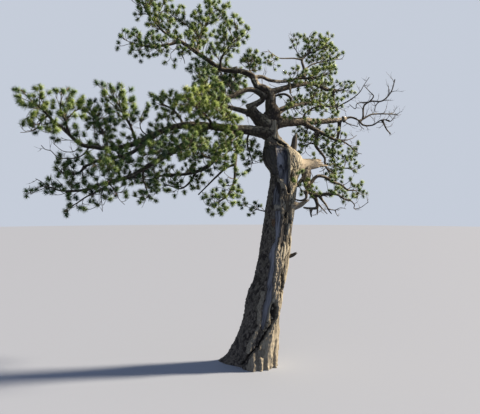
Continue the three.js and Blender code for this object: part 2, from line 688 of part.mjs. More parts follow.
// The twigs of one mass, by rule: side twigs at an even pitch along each leafy stem, each turned by the
// golden angle from the last and lifted to the light, and one that carries on from the stem's tip. A twig and
// its tuft are made smaller until they have room and keep their distance from the tufts before, or else they
// are left out.
function twigsOf(n) {
  const mass = masses[n];
  const kept = [];
  mass.limbs.forEach(({ curve, length }, stem) => {
    const bare = stem === 0 ? mass.bare : mass.stems[stem].bare ?? BARE_SHARE_LATER;
    const count = Math.max(2, Math.round(length * (1 - bare) / TWIG_PITCH));
    for (let i = count; i >= 0; i--) {
      const twig = stem * TWIG_NUMBERS + i;
      const leads = i === count;
      const s = bare + (1 - bare) * Math.min(1, (i + 0.4 * chance(n, twig, 1)) / count);
      const root = curve.getPointAt(s);
      const heading = curve.getTangentAt(s);
      const side = new THREE.Vector3().crossVectors(heading, ASIDE).normalize();
      side.applyAxisAngle(heading, twig * GOLDEN_ANGLE + chance(n, twig, 2));
      const spread = leads ? LEADER_SPREAD : TWIG_SPREAD + TWIG_SPREAD_VARIES * (chance(n, twig, 3) - 0.5);
      const direction = heading.clone().multiplyScalar(Math.cos(spread));
      direction.addScaledVector(side, Math.sin(spread));
      direction.z += TWIG_LIFT;
      direction.normalize();
      const aim = SHORTEST_REACH + (1 - SHORTEST_REACH) * chance(n, twig, 4);
      const full = mass.reach * (leads ? LEADER_REACH : aim);
      const largest = TUFT_LARGEST - TUFT_VARIES * chance(n, twig, 5);
      for (const share of DRAWN_IN) {
        const size = largest * share;
        const length = Math.max(TWIG_LEAST, share * full - TUFT_MIDDLE * size);
        const middle = root.clone().addScaledVector(direction, length + TUFT_MIDDLE * size);
        const halfway = root.clone().addScaledVector(direction, length / 2);
        const apart = kept.every((other) => {
          return other.middle.distanceTo(middle) > TUFT_SPACING * (size + other.size) / 2;
        });
        if (!apart || !roomFor(n, halfway, TWIG_RADIUS)) continue;
        if (!roomFor(n, middle, TUFT_RADIUS * size * ELBOW_ROOM)) continue;
        kept.push({ root, direction, length, size, middle, turn: FULL_TURN * chance(n, twig, 6) });
        break;
      }
    }
  });
  return kept;
}

function massSolid(n) {
  const mass = masses[n];
  const stems = mass.limbs.map((stem) => limbSolid(stem, STEM_SIDES, STEM_STEP, 0));
  const twigs = mass.dead ? [] : twigsOf(n);
  return fuse([...stems, ...twigs.map(twigSolid)]);
}

function boughSolid({ limbs }, grow) {
  return fuse(limbs.map((piece) => limbSolid(piece, BOUGH_SIDES, BOUGH_STEP, grow)));
}

// The room that each support takes up, a little larger than itself. What grows on it is cut back to that.
const taken = { trunk: trunkSolid(GAP) };
for (const bough of boughs) taken[bough.name] = boughSolid(bough, GAP);

function cutBack(solid, supports) {
  return largestBody(supports.reduce((left, name) => left.subtract(taken[name]), solid));
}

const tree = new THREE.Group();
const trunk = fuse([trunkSolid(0), ...snags.map((snag) => limbSolid(snag, BOUGH_SIDES, BOUGH_STEP, 0))]);
tree.add(meshOf("trunk", trunk, BARK_COLOUR, 0.95));

for (const bough of boughs) {
  const colour = bough.name.startsWith("broken") ? DEAD_WOOD_COLOUR : BARK_COLOUR;
  tree.add(meshOf(bough.name, cutBack(boughSolid(bough, 0), bough.on), colour, 0.95));
}

masses.forEach((mass, n) => {
  const colour = mass.dead ? DEAD_WOOD_COLOUR : NEEDLE_COLOUR;
  tree.add(meshOf(mass.name, cutBack(massSolid(n), mass.on), colour, 0.8));
});

export default tree;
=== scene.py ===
# %% [markdown]
# # An old, wind-shaped pine
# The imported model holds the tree's plain solids: a fluted trunk, tapering boughs and masses of blunt tufts.
# This lesson dresses them. Bark with real relief goes over the trunk and the boughs, and each mass of
# foliage is grown again from the same rule, carried on to finer twigs and single needles. First the frame
# is loaded, and its box is kept, because the finished tree has to stay inside it.

import bpy
import numpy as np
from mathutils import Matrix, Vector


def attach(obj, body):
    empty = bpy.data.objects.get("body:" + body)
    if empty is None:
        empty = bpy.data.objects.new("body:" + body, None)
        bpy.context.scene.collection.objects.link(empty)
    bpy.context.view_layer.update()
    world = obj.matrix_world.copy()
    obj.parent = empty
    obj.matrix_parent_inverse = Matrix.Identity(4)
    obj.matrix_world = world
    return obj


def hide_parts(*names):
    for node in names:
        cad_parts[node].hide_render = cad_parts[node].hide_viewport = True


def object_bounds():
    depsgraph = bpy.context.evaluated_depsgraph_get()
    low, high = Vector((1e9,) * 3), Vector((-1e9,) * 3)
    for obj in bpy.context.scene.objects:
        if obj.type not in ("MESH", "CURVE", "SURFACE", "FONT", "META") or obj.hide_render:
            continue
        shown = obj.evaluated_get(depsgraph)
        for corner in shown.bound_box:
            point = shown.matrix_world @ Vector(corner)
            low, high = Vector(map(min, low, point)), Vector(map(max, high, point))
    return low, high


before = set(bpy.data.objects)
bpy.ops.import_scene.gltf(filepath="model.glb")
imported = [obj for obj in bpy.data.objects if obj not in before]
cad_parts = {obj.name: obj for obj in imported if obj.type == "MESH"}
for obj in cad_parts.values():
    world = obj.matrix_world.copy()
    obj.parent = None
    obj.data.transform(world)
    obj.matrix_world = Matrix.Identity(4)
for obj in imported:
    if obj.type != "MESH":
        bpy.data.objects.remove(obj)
cad_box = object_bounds()
print("solids", len(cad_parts), "box", [tuple(round(v, 3) for v in corner) for corner in cad_box])

# %% [markdown]
# ## The standpoint
# The tree was seen from about 5 m away by someone standing on level ground, so the camera stands at eye
# height and looks level. The growth tables further down give places as they show from this same point,
# which is why it is kept as a named value in millimetres, the unit of this script. Meshes are turned to
# metres when they are made.

# %% Camera
MM = 0.001
EYE = np.array([-100.0, -5000.0, 1580.0])
FOCAL_LENGTH = 37.5
SENSOR_WIDTH = 36.0

scene = bpy.context.scene
camera = bpy.data.objects.new("camera", bpy.data.cameras.new("camera"))
scene.collection.objects.link(camera)
camera.location = EYE * MM
camera.rotation_euler = (np.pi / 2, 0, 0)
camera.data.lens = FOCAL_LENGTH
camera.data.sensor_width = SENSOR_WIDTH
scene.camera = camera
width_seen = camera.location.length * SENSOR_WIDTH / FOCAL_LENGTH
print("camera", [round(v, 2) for v in camera.location], "sees", round(width_seen, 1), "m across")

# %% [markdown]
# ## Colours and nodes
# Colours are written as sRGB hex values, as a paint chart would give them, but Blender works in linear
# light, so one function turns them over. A second one adds a shader node with its settings and links, and
# every patterned material below is built with it.

# %% Helpers for materials
def linear(shade):
    """Linear RGBA of an sRGB hex value: ((c + 0.055) / 1.055) ** 2.4, or c / 12.92 where c is small."""
    channels = np.array([(shade >> shift & 255) / 255 for shift in (16, 8, 0)])
    bright = ((channels + 0.055) / 1.055) ** 2.4
    return (*np.where(channels > 0.04045, bright, channels / 12.92), 1.0)


def add(tree, kind, inputs=None, **settings):
    """Adds a node. settings are its own properties, and inputs gives its sockets a value or another socket
    to link."""
    made = tree.nodes.new(kind)
    for name, value in settings.items():
        setattr(made, name, value)
    for name, value in (inputs or {}).items():
        if isinstance(value, bpy.types.NodeSocket):
            tree.links.new(value, made.inputs[name])
        else:
            made.inputs[name].default_value = value
    return made


def new_material(name):
    """An empty material, its node tree and its Principled shader."""
    material = bpy.data.materials.new(name)
    material.use_nodes = True
    return material, material.node_tree, material.node_tree.nodes["Principled BSDF"]


# %% [markdown]
# ## The studio
# The real tree stands in low sun from the right and a little behind, so its trunk has one warm side and one
# cool, dark side. One sun lamp, made large so that its shadows are soft, keeps that modelling. The bluish
# surroundings fill the shade weakly, and the camera sees them paler and brighter than they shine. A large
# dim lamp in front lifts the dark side a little. The floor is a plain disc of matt paper, which isn't part
# of the tree. It throws no light back up, or else it would wash out the shade.

# %% Floor, surroundings and lamps
FLOOR_RADIUS = 40.0
FLOOR_CORNERS = 96
SUN_BEARING, SUN_HEIGHT = np.radians((8, 27))
SUN_WIDTH = np.radians(7)
SUN_POWER = 7.2
FILL_SPOT = Vector((-1.5, -8.0, 4.5))
FILL_AIM = Vector((-0.2, 0.0, 2.1))
FILL_SIZE = 4.0
FILL_POWER = 36
SURROUNDINGS_SHINE, SURROUNDINGS_SEEN = 0.28, 0.8

world = bpy.data.worlds.new("pale_surroundings")
scene.world = world
world.use_nodes = True
surroundings = world.node_tree.nodes["Background"]
seen = add(world.node_tree, "ShaderNodeLightPath").outputs["Is Camera Ray"]
tone = add(world.node_tree, "ShaderNodeMix", {0: seen, 6: linear(0xBECCEE), 7: linear(0xDAE2F0)},
           data_type="RGBA")
world.node_tree.links.new(tone.outputs[2], surroundings.inputs["Color"])
shine = add(world.node_tree, "ShaderNodeMapRange", {"Value": seen, "To Min": SURROUNDINGS_SHINE,
                                                    "To Max": SURROUNDINGS_SEEN})
world.node_tree.links.new(shine.outputs["Result"], surroundings.inputs["Strength"])
scene.view_settings.view_transform = "Standard"

def turns(count):
    """Even angles all the way round, without the last, which is the first again."""
    return np.linspace(0, 2 * np.pi, count, endpoint=False)


rim_turn = turns(FLOOR_CORNERS)
rim = np.stack([np.cos(rim_turn), np.sin(rim_turn), 0 * rim_turn], axis=1) * FLOOR_RADIUS
floor_mesh = bpy.data.meshes.new("studio_floor")
floor_mesh.from_pydata(rim.tolist(), [], [list(range(FLOOR_CORNERS))])
floor = bpy.data.objects.new("studio_floor", floor_mesh)
scene.collection.objects.link(floor)
# Matt paper: pale and a little blue, and so rough that it shows soft shadows and no gloss.
matt_paper, tree, shader = new_material("matt_paper")
shader.inputs["Base Color"].default_value = linear(0xB8C1CE)
shader.inputs["Roughness"].default_value = 0.9
floor_mesh.materials.append(matt_paper)
floor.visible_diffuse = False

sun = bpy.data.objects.new("low_sun", bpy.data.lights.new("low_sun", "SUN"))
sun.data.energy = SUN_POWER
sun.data.angle = SUN_WIDTH
sun.data.color = linear(0xFFEDD6)[:3]
from_sun = -Vector((np.cos(SUN_HEIGHT) * np.cos(SUN_BEARING), np.cos(SUN_HEIGHT) * np.sin(SUN_BEARING),
                    np.sin(SUN_HEIGHT)))
sun.rotation_euler = from_sun.to_track_quat("-Z", "Y").to_euler()
fill = bpy.data.objects.new("cool_fill", bpy.data.lights.new("cool_fill", "AREA"))
fill.data.size = FILL_SIZE
fill.data.energy = FILL_POWER
fill.data.color = linear(0xDCE8FF)[:3]
fill.location = FILL_SPOT
fill.rotation_euler = (FILL_AIM - FILL_SPOT).to_track_quat("-Z", "Y").to_euler()
for lamp in (sun, fill):
    scene.collection.objects.link(lamp)
print("lamps", sun.name, fill.name)

# %% [markdown]
# ## Chance and lumps
# Nothing in a tree is quite regular, and yet this script has to grow the same tree each time. So chance
# isn't rolled like a die but worked out from whole numbers, and every twig, flake and lump has its own. Two
# kinds of pattern are built on it: soft lumps, for swellings and streaks, and flakes, for the plates of old
# bark. The seed that ends a call below has no size of its own. It only makes one pattern, or one draw,
# differ from the next.

# %% Chance
def chance(first, second, third):
    """A number from 0 to 1, always the same for the same three: the part behind the point of a large
    sine."""
    wave = np.sin(first * 12.9898 + second * 78.233 + third * 37.719) * 43758.5453
    return wave - np.floor(wave)


# %% Lumps and flakes
def lumps(points, size, seed=0):
    """Smooth noise from -1 to 1 with lumps about size across. Each corner of a grid has its own chance, and
    a point blends its cell's eight corners by 3t² - 2t³ along each side."""
    cell = points / size + seed * 17.31
    whole = np.floor(cell)
    t = cell - whole
    t = t * t * (3 - 2 * t)
    total = np.zeros(points.shape[:-1])
    for corner in np.ndindex(2, 2, 2):
        weight = np.prod(np.where(corner, t, 1 - t), axis=-1)
        total += weight * chance(*np.moveaxis(whole + corner, -1, 0))
    return 2 * total - 1


def flakes(points, size, seed=0):
    """Each grid cell about size across holds one seed place. Returns how far a point is from the edge
    between its two nearest seeds, from 0 on the crack to about 1 in the middle, and a chance for its
    nearest one."""
    cell = points / size + seed * 9.77
    whole = np.floor(cell)
    nearest = np.full(points.shape[:-1], 9.0)
    second = nearest.copy()
    shade = np.zeros(points.shape[:-1])
    for corner in np.ndindex(3, 3, 3):
        x, y, z = np.moveaxis(whole + np.subtract(corner, 1), -1, 0)
        spot = np.stack([x + chance(x, y, z), y + chance(y, z, x), z + chance(z, x, y)], axis=-1)
        away = np.linalg.norm(spot - cell, axis=-1)
        second = np.minimum(second, np.maximum(nearest, away))
        shade = np.where(away < nearest, chance(x + 7, y + 3, z), shade)
        nearest = np.minimum(nearest, away)
    return np.minimum(second - nearest, 1), shade


def ease(value, low, high):
    """0 below low, 1 above high, and 3t² - 2t³ between them. low may be the larger one."""
    t = np.clip((value - low) / (high - low), 0, 1)
    return t * t * (3 - 2 * t)


# %% [markdown]
# ## Lines that limbs follow
# A limb is a smooth line through a few places and a radius along it. The line is a Catmull-Rom curve, which
# passes through each of its places, so a route can be read off the real tree. It is then cut into even
# steps, and a share from 0 to 1 gives any place along it.

# %% Smooth lines
LINE_STEPS = 400
CURVE_STEPS = 24


def unit(vectors):
    """The same directions with length 1."""
    return vectors / np.linalg.norm(vectors, axis=-1, keepdims=True)


def at(line, share):
    """The place a given share of the way along a line of evenly spaced points."""
    where = np.clip(np.asarray(share, float), 0, 1) * (len(line) - 1)
    low = np.minimum(where.astype(int), len(line) - 2)
    part = (where - low)[..., None]
    return line[low] * (1 - part) + line[low + 1] * part


def smooth_line(places):
    """A centripetal Catmull-Rom curve. Between two places it is the cubic whose end slopes come from the
    neighbours, each weighted by the square root of its distance. Returned as evenly spaced points."""
    places = np.asarray(places, float)
    knots = np.vstack([2 * places[0] - places[1], places, 2 * places[-1] - places[-2]])
    gap = np.linalg.norm(np.diff(knots, axis=0), axis=1)[:, None] ** 0.5
    before, start, end, after = knots[:-3], knots[1:-2], knots[2:-1], knots[3:]
    g0, g1, g2 = gap[:-2], gap[1:-1], gap[2:]
    slope = g1 * ((start - before) / g0 - (end - before) / (g0 + g1) + (end - start) / g1)
    late = g1 * ((end - start) / g1 - (after - start) / (g1 + g2) + (after - end) / g2)
    t = np.linspace(0, 1, CURVE_STEPS, endpoint=False)[None, :, None]
    bend = 3 * (end - start) - 2 * slope - late
    turn = slope + late - 2 * (end - start)
    curve = start[:, None] + slope[:, None] * t + bend[:, None] * t**2 + turn[:, None] * t**3
    curve = np.vstack([curve.reshape(-1, 3), places[-1]])
    run = np.concatenate([[0], np.cumsum(np.linalg.norm(np.diff(curve, axis=0), axis=1))])
    even = np.linspace(0, run[-1], LINE_STEPS + 1)
    return np.stack([np.interp(even, run, curve[:, k]) for k in range(3)], axis=1)


def length_of(line):
    """The sum of the steps along a line."""
    return np.linalg.norm(np.diff(line, axis=0), axis=1).sum()


def heading_at(line, share):
    """The direction of a line at a share of its length, from two places close on either side."""
    return unit(at(line, np.add(share, 0.002)) - at(line, np.subtract(share, 0.002)))


# %% Places that show where they should
def place(across, up, deep):
    """The real point that shows at [across, up] on the upright plane through the trunk and lies deep behind
    it: the line of sight from EYE, stretched by (deep - EYE's depth) / -EYE's depth."""
    stretch = (deep - EYE[1]) / -EYE[1]
    return np.array([EYE[0] + (across - EYE[0]) * stretch, deep, EYE[2] + (up - EYE[2]) * stretch])


def shown_at(points):
    """Where real points show on that plane, the other way round."""
    stretch = (points[..., 1] - EYE[1]) / -EYE[1]
    return EYE[[0, 2]] + (points[..., [0, 2]] - EYE[[0, 2]]) / stretch[..., None]


ROOT_CHOICES = 120


def limb(route, deep, radii, parents, taper=1.0):
    """A limb starts at the point of its parents' lines that shows nearest to its first place. The others
    lie ever nearer to the depth of its tip."""
    shown = np.array(route, float)
    choices = np.vstack([at(parent["line"], np.linspace(0, 1, ROOT_CHOICES + 1)) for parent in parents])
    root = choices[np.argmin(np.linalg.norm(shown_at(choices) - shown[0], axis=1))]
    steps = np.linalg.norm(np.diff(shown, axis=0), axis=1)
    share = np.cumsum(steps) / steps.sum()
    places = [place(*spot, root[1] + (deep - root[1]) * s) for spot, s in zip(shown[1:], share)]
    line = smooth_line([root, *places])
    return {"line": line, "radii": radii, "taper": taper, "length": length_of(line)}


def radius_at(piece, share):
    """A limb's radius at a share s of its length: last + (first - last) * (1 - s) ** taper."""
    first, last = piece["radii"]
    return last + (first - last) * (1 - np.asarray(share)) ** piece["taper"]


# %% [markdown]
# ## The tree's own measures
# These are the driving sizes of the solids, in millimetres, so that what grows here meets what was packed.
# The trunk is given by stations from the ground to the fork. Each bough and each stem of foliage has its
# radius at both ends, the depth of its tip, and its route as it shows from the standpoint.

# %% Trunk stations: height, lean of the axis, radius
TRUNK = np.array([
    (0, 74, 170), (100, 76, 182), (200, 78, 190), (320, 92, 186), (470, 116, 175), (650, 148, 174),
    (760, 172, 166), (850, 204, 156), (1020, 240, 152), (1200, 262, 151), (1380, 277, 147),
    (1560, 297, 145), (1740, 316, 138), (1880, 332, 134), (1935, 333, 142), (2010, 318, 180),
    (2080, 306, 190), (2140, 285, 165), (2180, 258, 125), (2220, 240, 102), (2310, 216, 67),
    (2400, 205, 72), (2470, 205, 78), (2530, 215, 60), (2560, 218, 36),
], float)
# Each root has its bearing in radians and its spread as a share of the girth. Each kind of flute has how
# many go round, their depth as a share of the girth, and how they wind in radians for each mm.
ROOTS = ((2.75, 1.45), (4.5, 0.22), (5.6, 0.14), (0.5, 0.08), (1.9, 0.3))
ROOT_HEIGHT = 160
ROOT_NARROWS = 8
FLUTES = ((3, 0.07, 0.0011), (5, 0.045, -0.0007))
SNAGS = {
    "dead_spire": {"radii": (46, 22), "deep": 10, "route": [(390, 2010), (428, 2150), (452, 2298)]},
    "broken_peg": {"radii": (26, 14), "deep": -30, "route": [(330, 1070), (400, 1090), (472, 1122)]},
}

# %% Boughs
# Each line: what a bough grows on, its radius at the root and at the tip, the depth of its tip and its
# route. A few lines go on with the power of the taper, and with an arm's radii, depth and route.
BOUGH_FACTS = ("on", "radii", "deep", "route", "taper", "arm")
BOUGHS = {
    "bough_top": ("trunk", (58, 24), -110, [(215, 2450), (222, 2530), (205, 2610), (210, 2670), (185, 2730),
        (135, 2765), (75, 2788), (50, 2835), (25, 2885), (-25, 2920), (-90, 2940), (-140, 2950)], 1.2),
    "bough_top_left": ("bough_top", (24, 18), -200, [(-130, 2948), (-280, 2955), (-420, 3050), (-510, 3110),
        (-610, 3180), (-700, 3240)]),
    "bough_knee": ("trunk", (66, 44), -50, [(180, 2400), (118, 2445), (48, 2505), (-15, 2560)], 1.0,
        ((34, 26), -25, [(-10, 2572), (40, 2598), (90, 2628), (150, 2672)])),
    "bough_arch": ("bough_knee", (27, 20), -220, [(160, 2650), (130, 2692), (60, 2742), (0, 2755),
        (-60, 2745), (-120, 2720), (-180, 2688), (-240, 2665), (-290, 2645)]),
    "bough_left": ("trunk", (56, 27), -490, [(180, 2310), (60, 2345), (-30, 2358), (-180, 2358),
        (-400, 2385), (-630, 2405), (-830, 2360), (-1000, 2280)], 1.8),
    "bough_left_upper": ("bough_left", (26, 14), -770, [(-990, 2285), (-1200, 2200), (-1420, 2165),
        (-1560, 2180), (-1670, 2200), (-1746, 2250), (-1800, 2300), (-1880, 2375)]),
    "bough_left_middle": ("bough_left", (21, 12), -600, [(-960, 2300), (-1070, 2200), (-1200, 2115),
        (-1380, 2070), (-1500, 2050), (-1580, 2015), (-1650, 1985)]),
    "bough_left_low": ("bough_left", (32, 15), -620, [(-450, 2390), (-600, 2250), (-770, 2140),
        (-990, 2010), (-1190, 1890), (-1370, 1840), (-1510, 1800)]),
    "bough_center_low": ("bough_left", (28, 14), 160, [(-80, 2360), (-190, 2260), (-300, 2130),
        (-420, 1990), (-520, 1940), (-650, 1910), (-800, 1900)]),
    "bough_back_left": ("trunk", (40, 21), 640, [(170, 2430), (0, 2520), (-140, 2560), (-260, 2590)]),
    "bough_right": ("trunk", (54, 24), 400, [(220, 2430), (330, 2436), (460, 2435), (610, 2435),
        (770, 2440), (930, 2455)], 1.3),
    "bough_back_right": ("trunk", (38, 18), 700, [(230, 2450), (310, 2550), (420, 2590), (540, 2610)]),
    "bough_right_upper": ("bough_top", (32, 16), 460, [(185, 2710), (280, 2750), (410, 2790), (530, 2812),
        (650, 2808), (760, 2756), (840, 2746)], 1.0, ((13, 10), 440, [(833, 2742), (836, 2650), (865, 2570),
        (890, 2515)])),
    "bough_crown": ("bough_top", (18, 13), 150, [(35, 2875), (120, 2880), (190, 2850), (290, 2835),
        (385, 2842), (480, 2865), (590, 2865)], 1.0, ((12, 10), -35, [(385, 2842), (400, 2780),
        (404, 2715)])),
    "bough_curl": ("trunk", (15, 11), -60, [(225, 2570), (305, 2554), (360, 2570), (400, 2617), (408, 2665),
        (360, 2703), (293, 2703), (215, 2672)]),
    "bough_right_low": ("bough_right", (22, 12), 250, [(530, 2435), (600, 2380), (670, 2342), (760, 2300),
        (850, 2250)]),
    "broken_stub_upper": ("trunk", (70, 46), 190, [(380, 1990), (540, 1997), (650, 2012), (700, 2017)], 1.0,
        ((22, 8), 215, [(640, 1995), (705, 1995), (775, 1990)])),
    "broken_stub_lower": ("trunk", (46, 13), -20, [(380, 1570), (490, 1600), (590, 1655)]),
    "bough_skirt": ("broken_stub_upper", (36, 20), -60, [(560, 1990), (562, 1850), (585, 1770),
        (630, 1700)], 1.0, ((17, 12), -20, [(563, 1925), (532, 1870), (492, 1820), (474, 1780)])),
    "bough_skirt_arch": ("bough_skirt", (17, 10), 80, [(590, 1775), (622, 1841), (680, 1890), (750, 1880),
        (820, 1835), (900, 1805), (970, 1750)]),
}
BOUGHS = {name: dict(zip(BOUGH_FACTS, row)) for name, row in BOUGHS.items()}

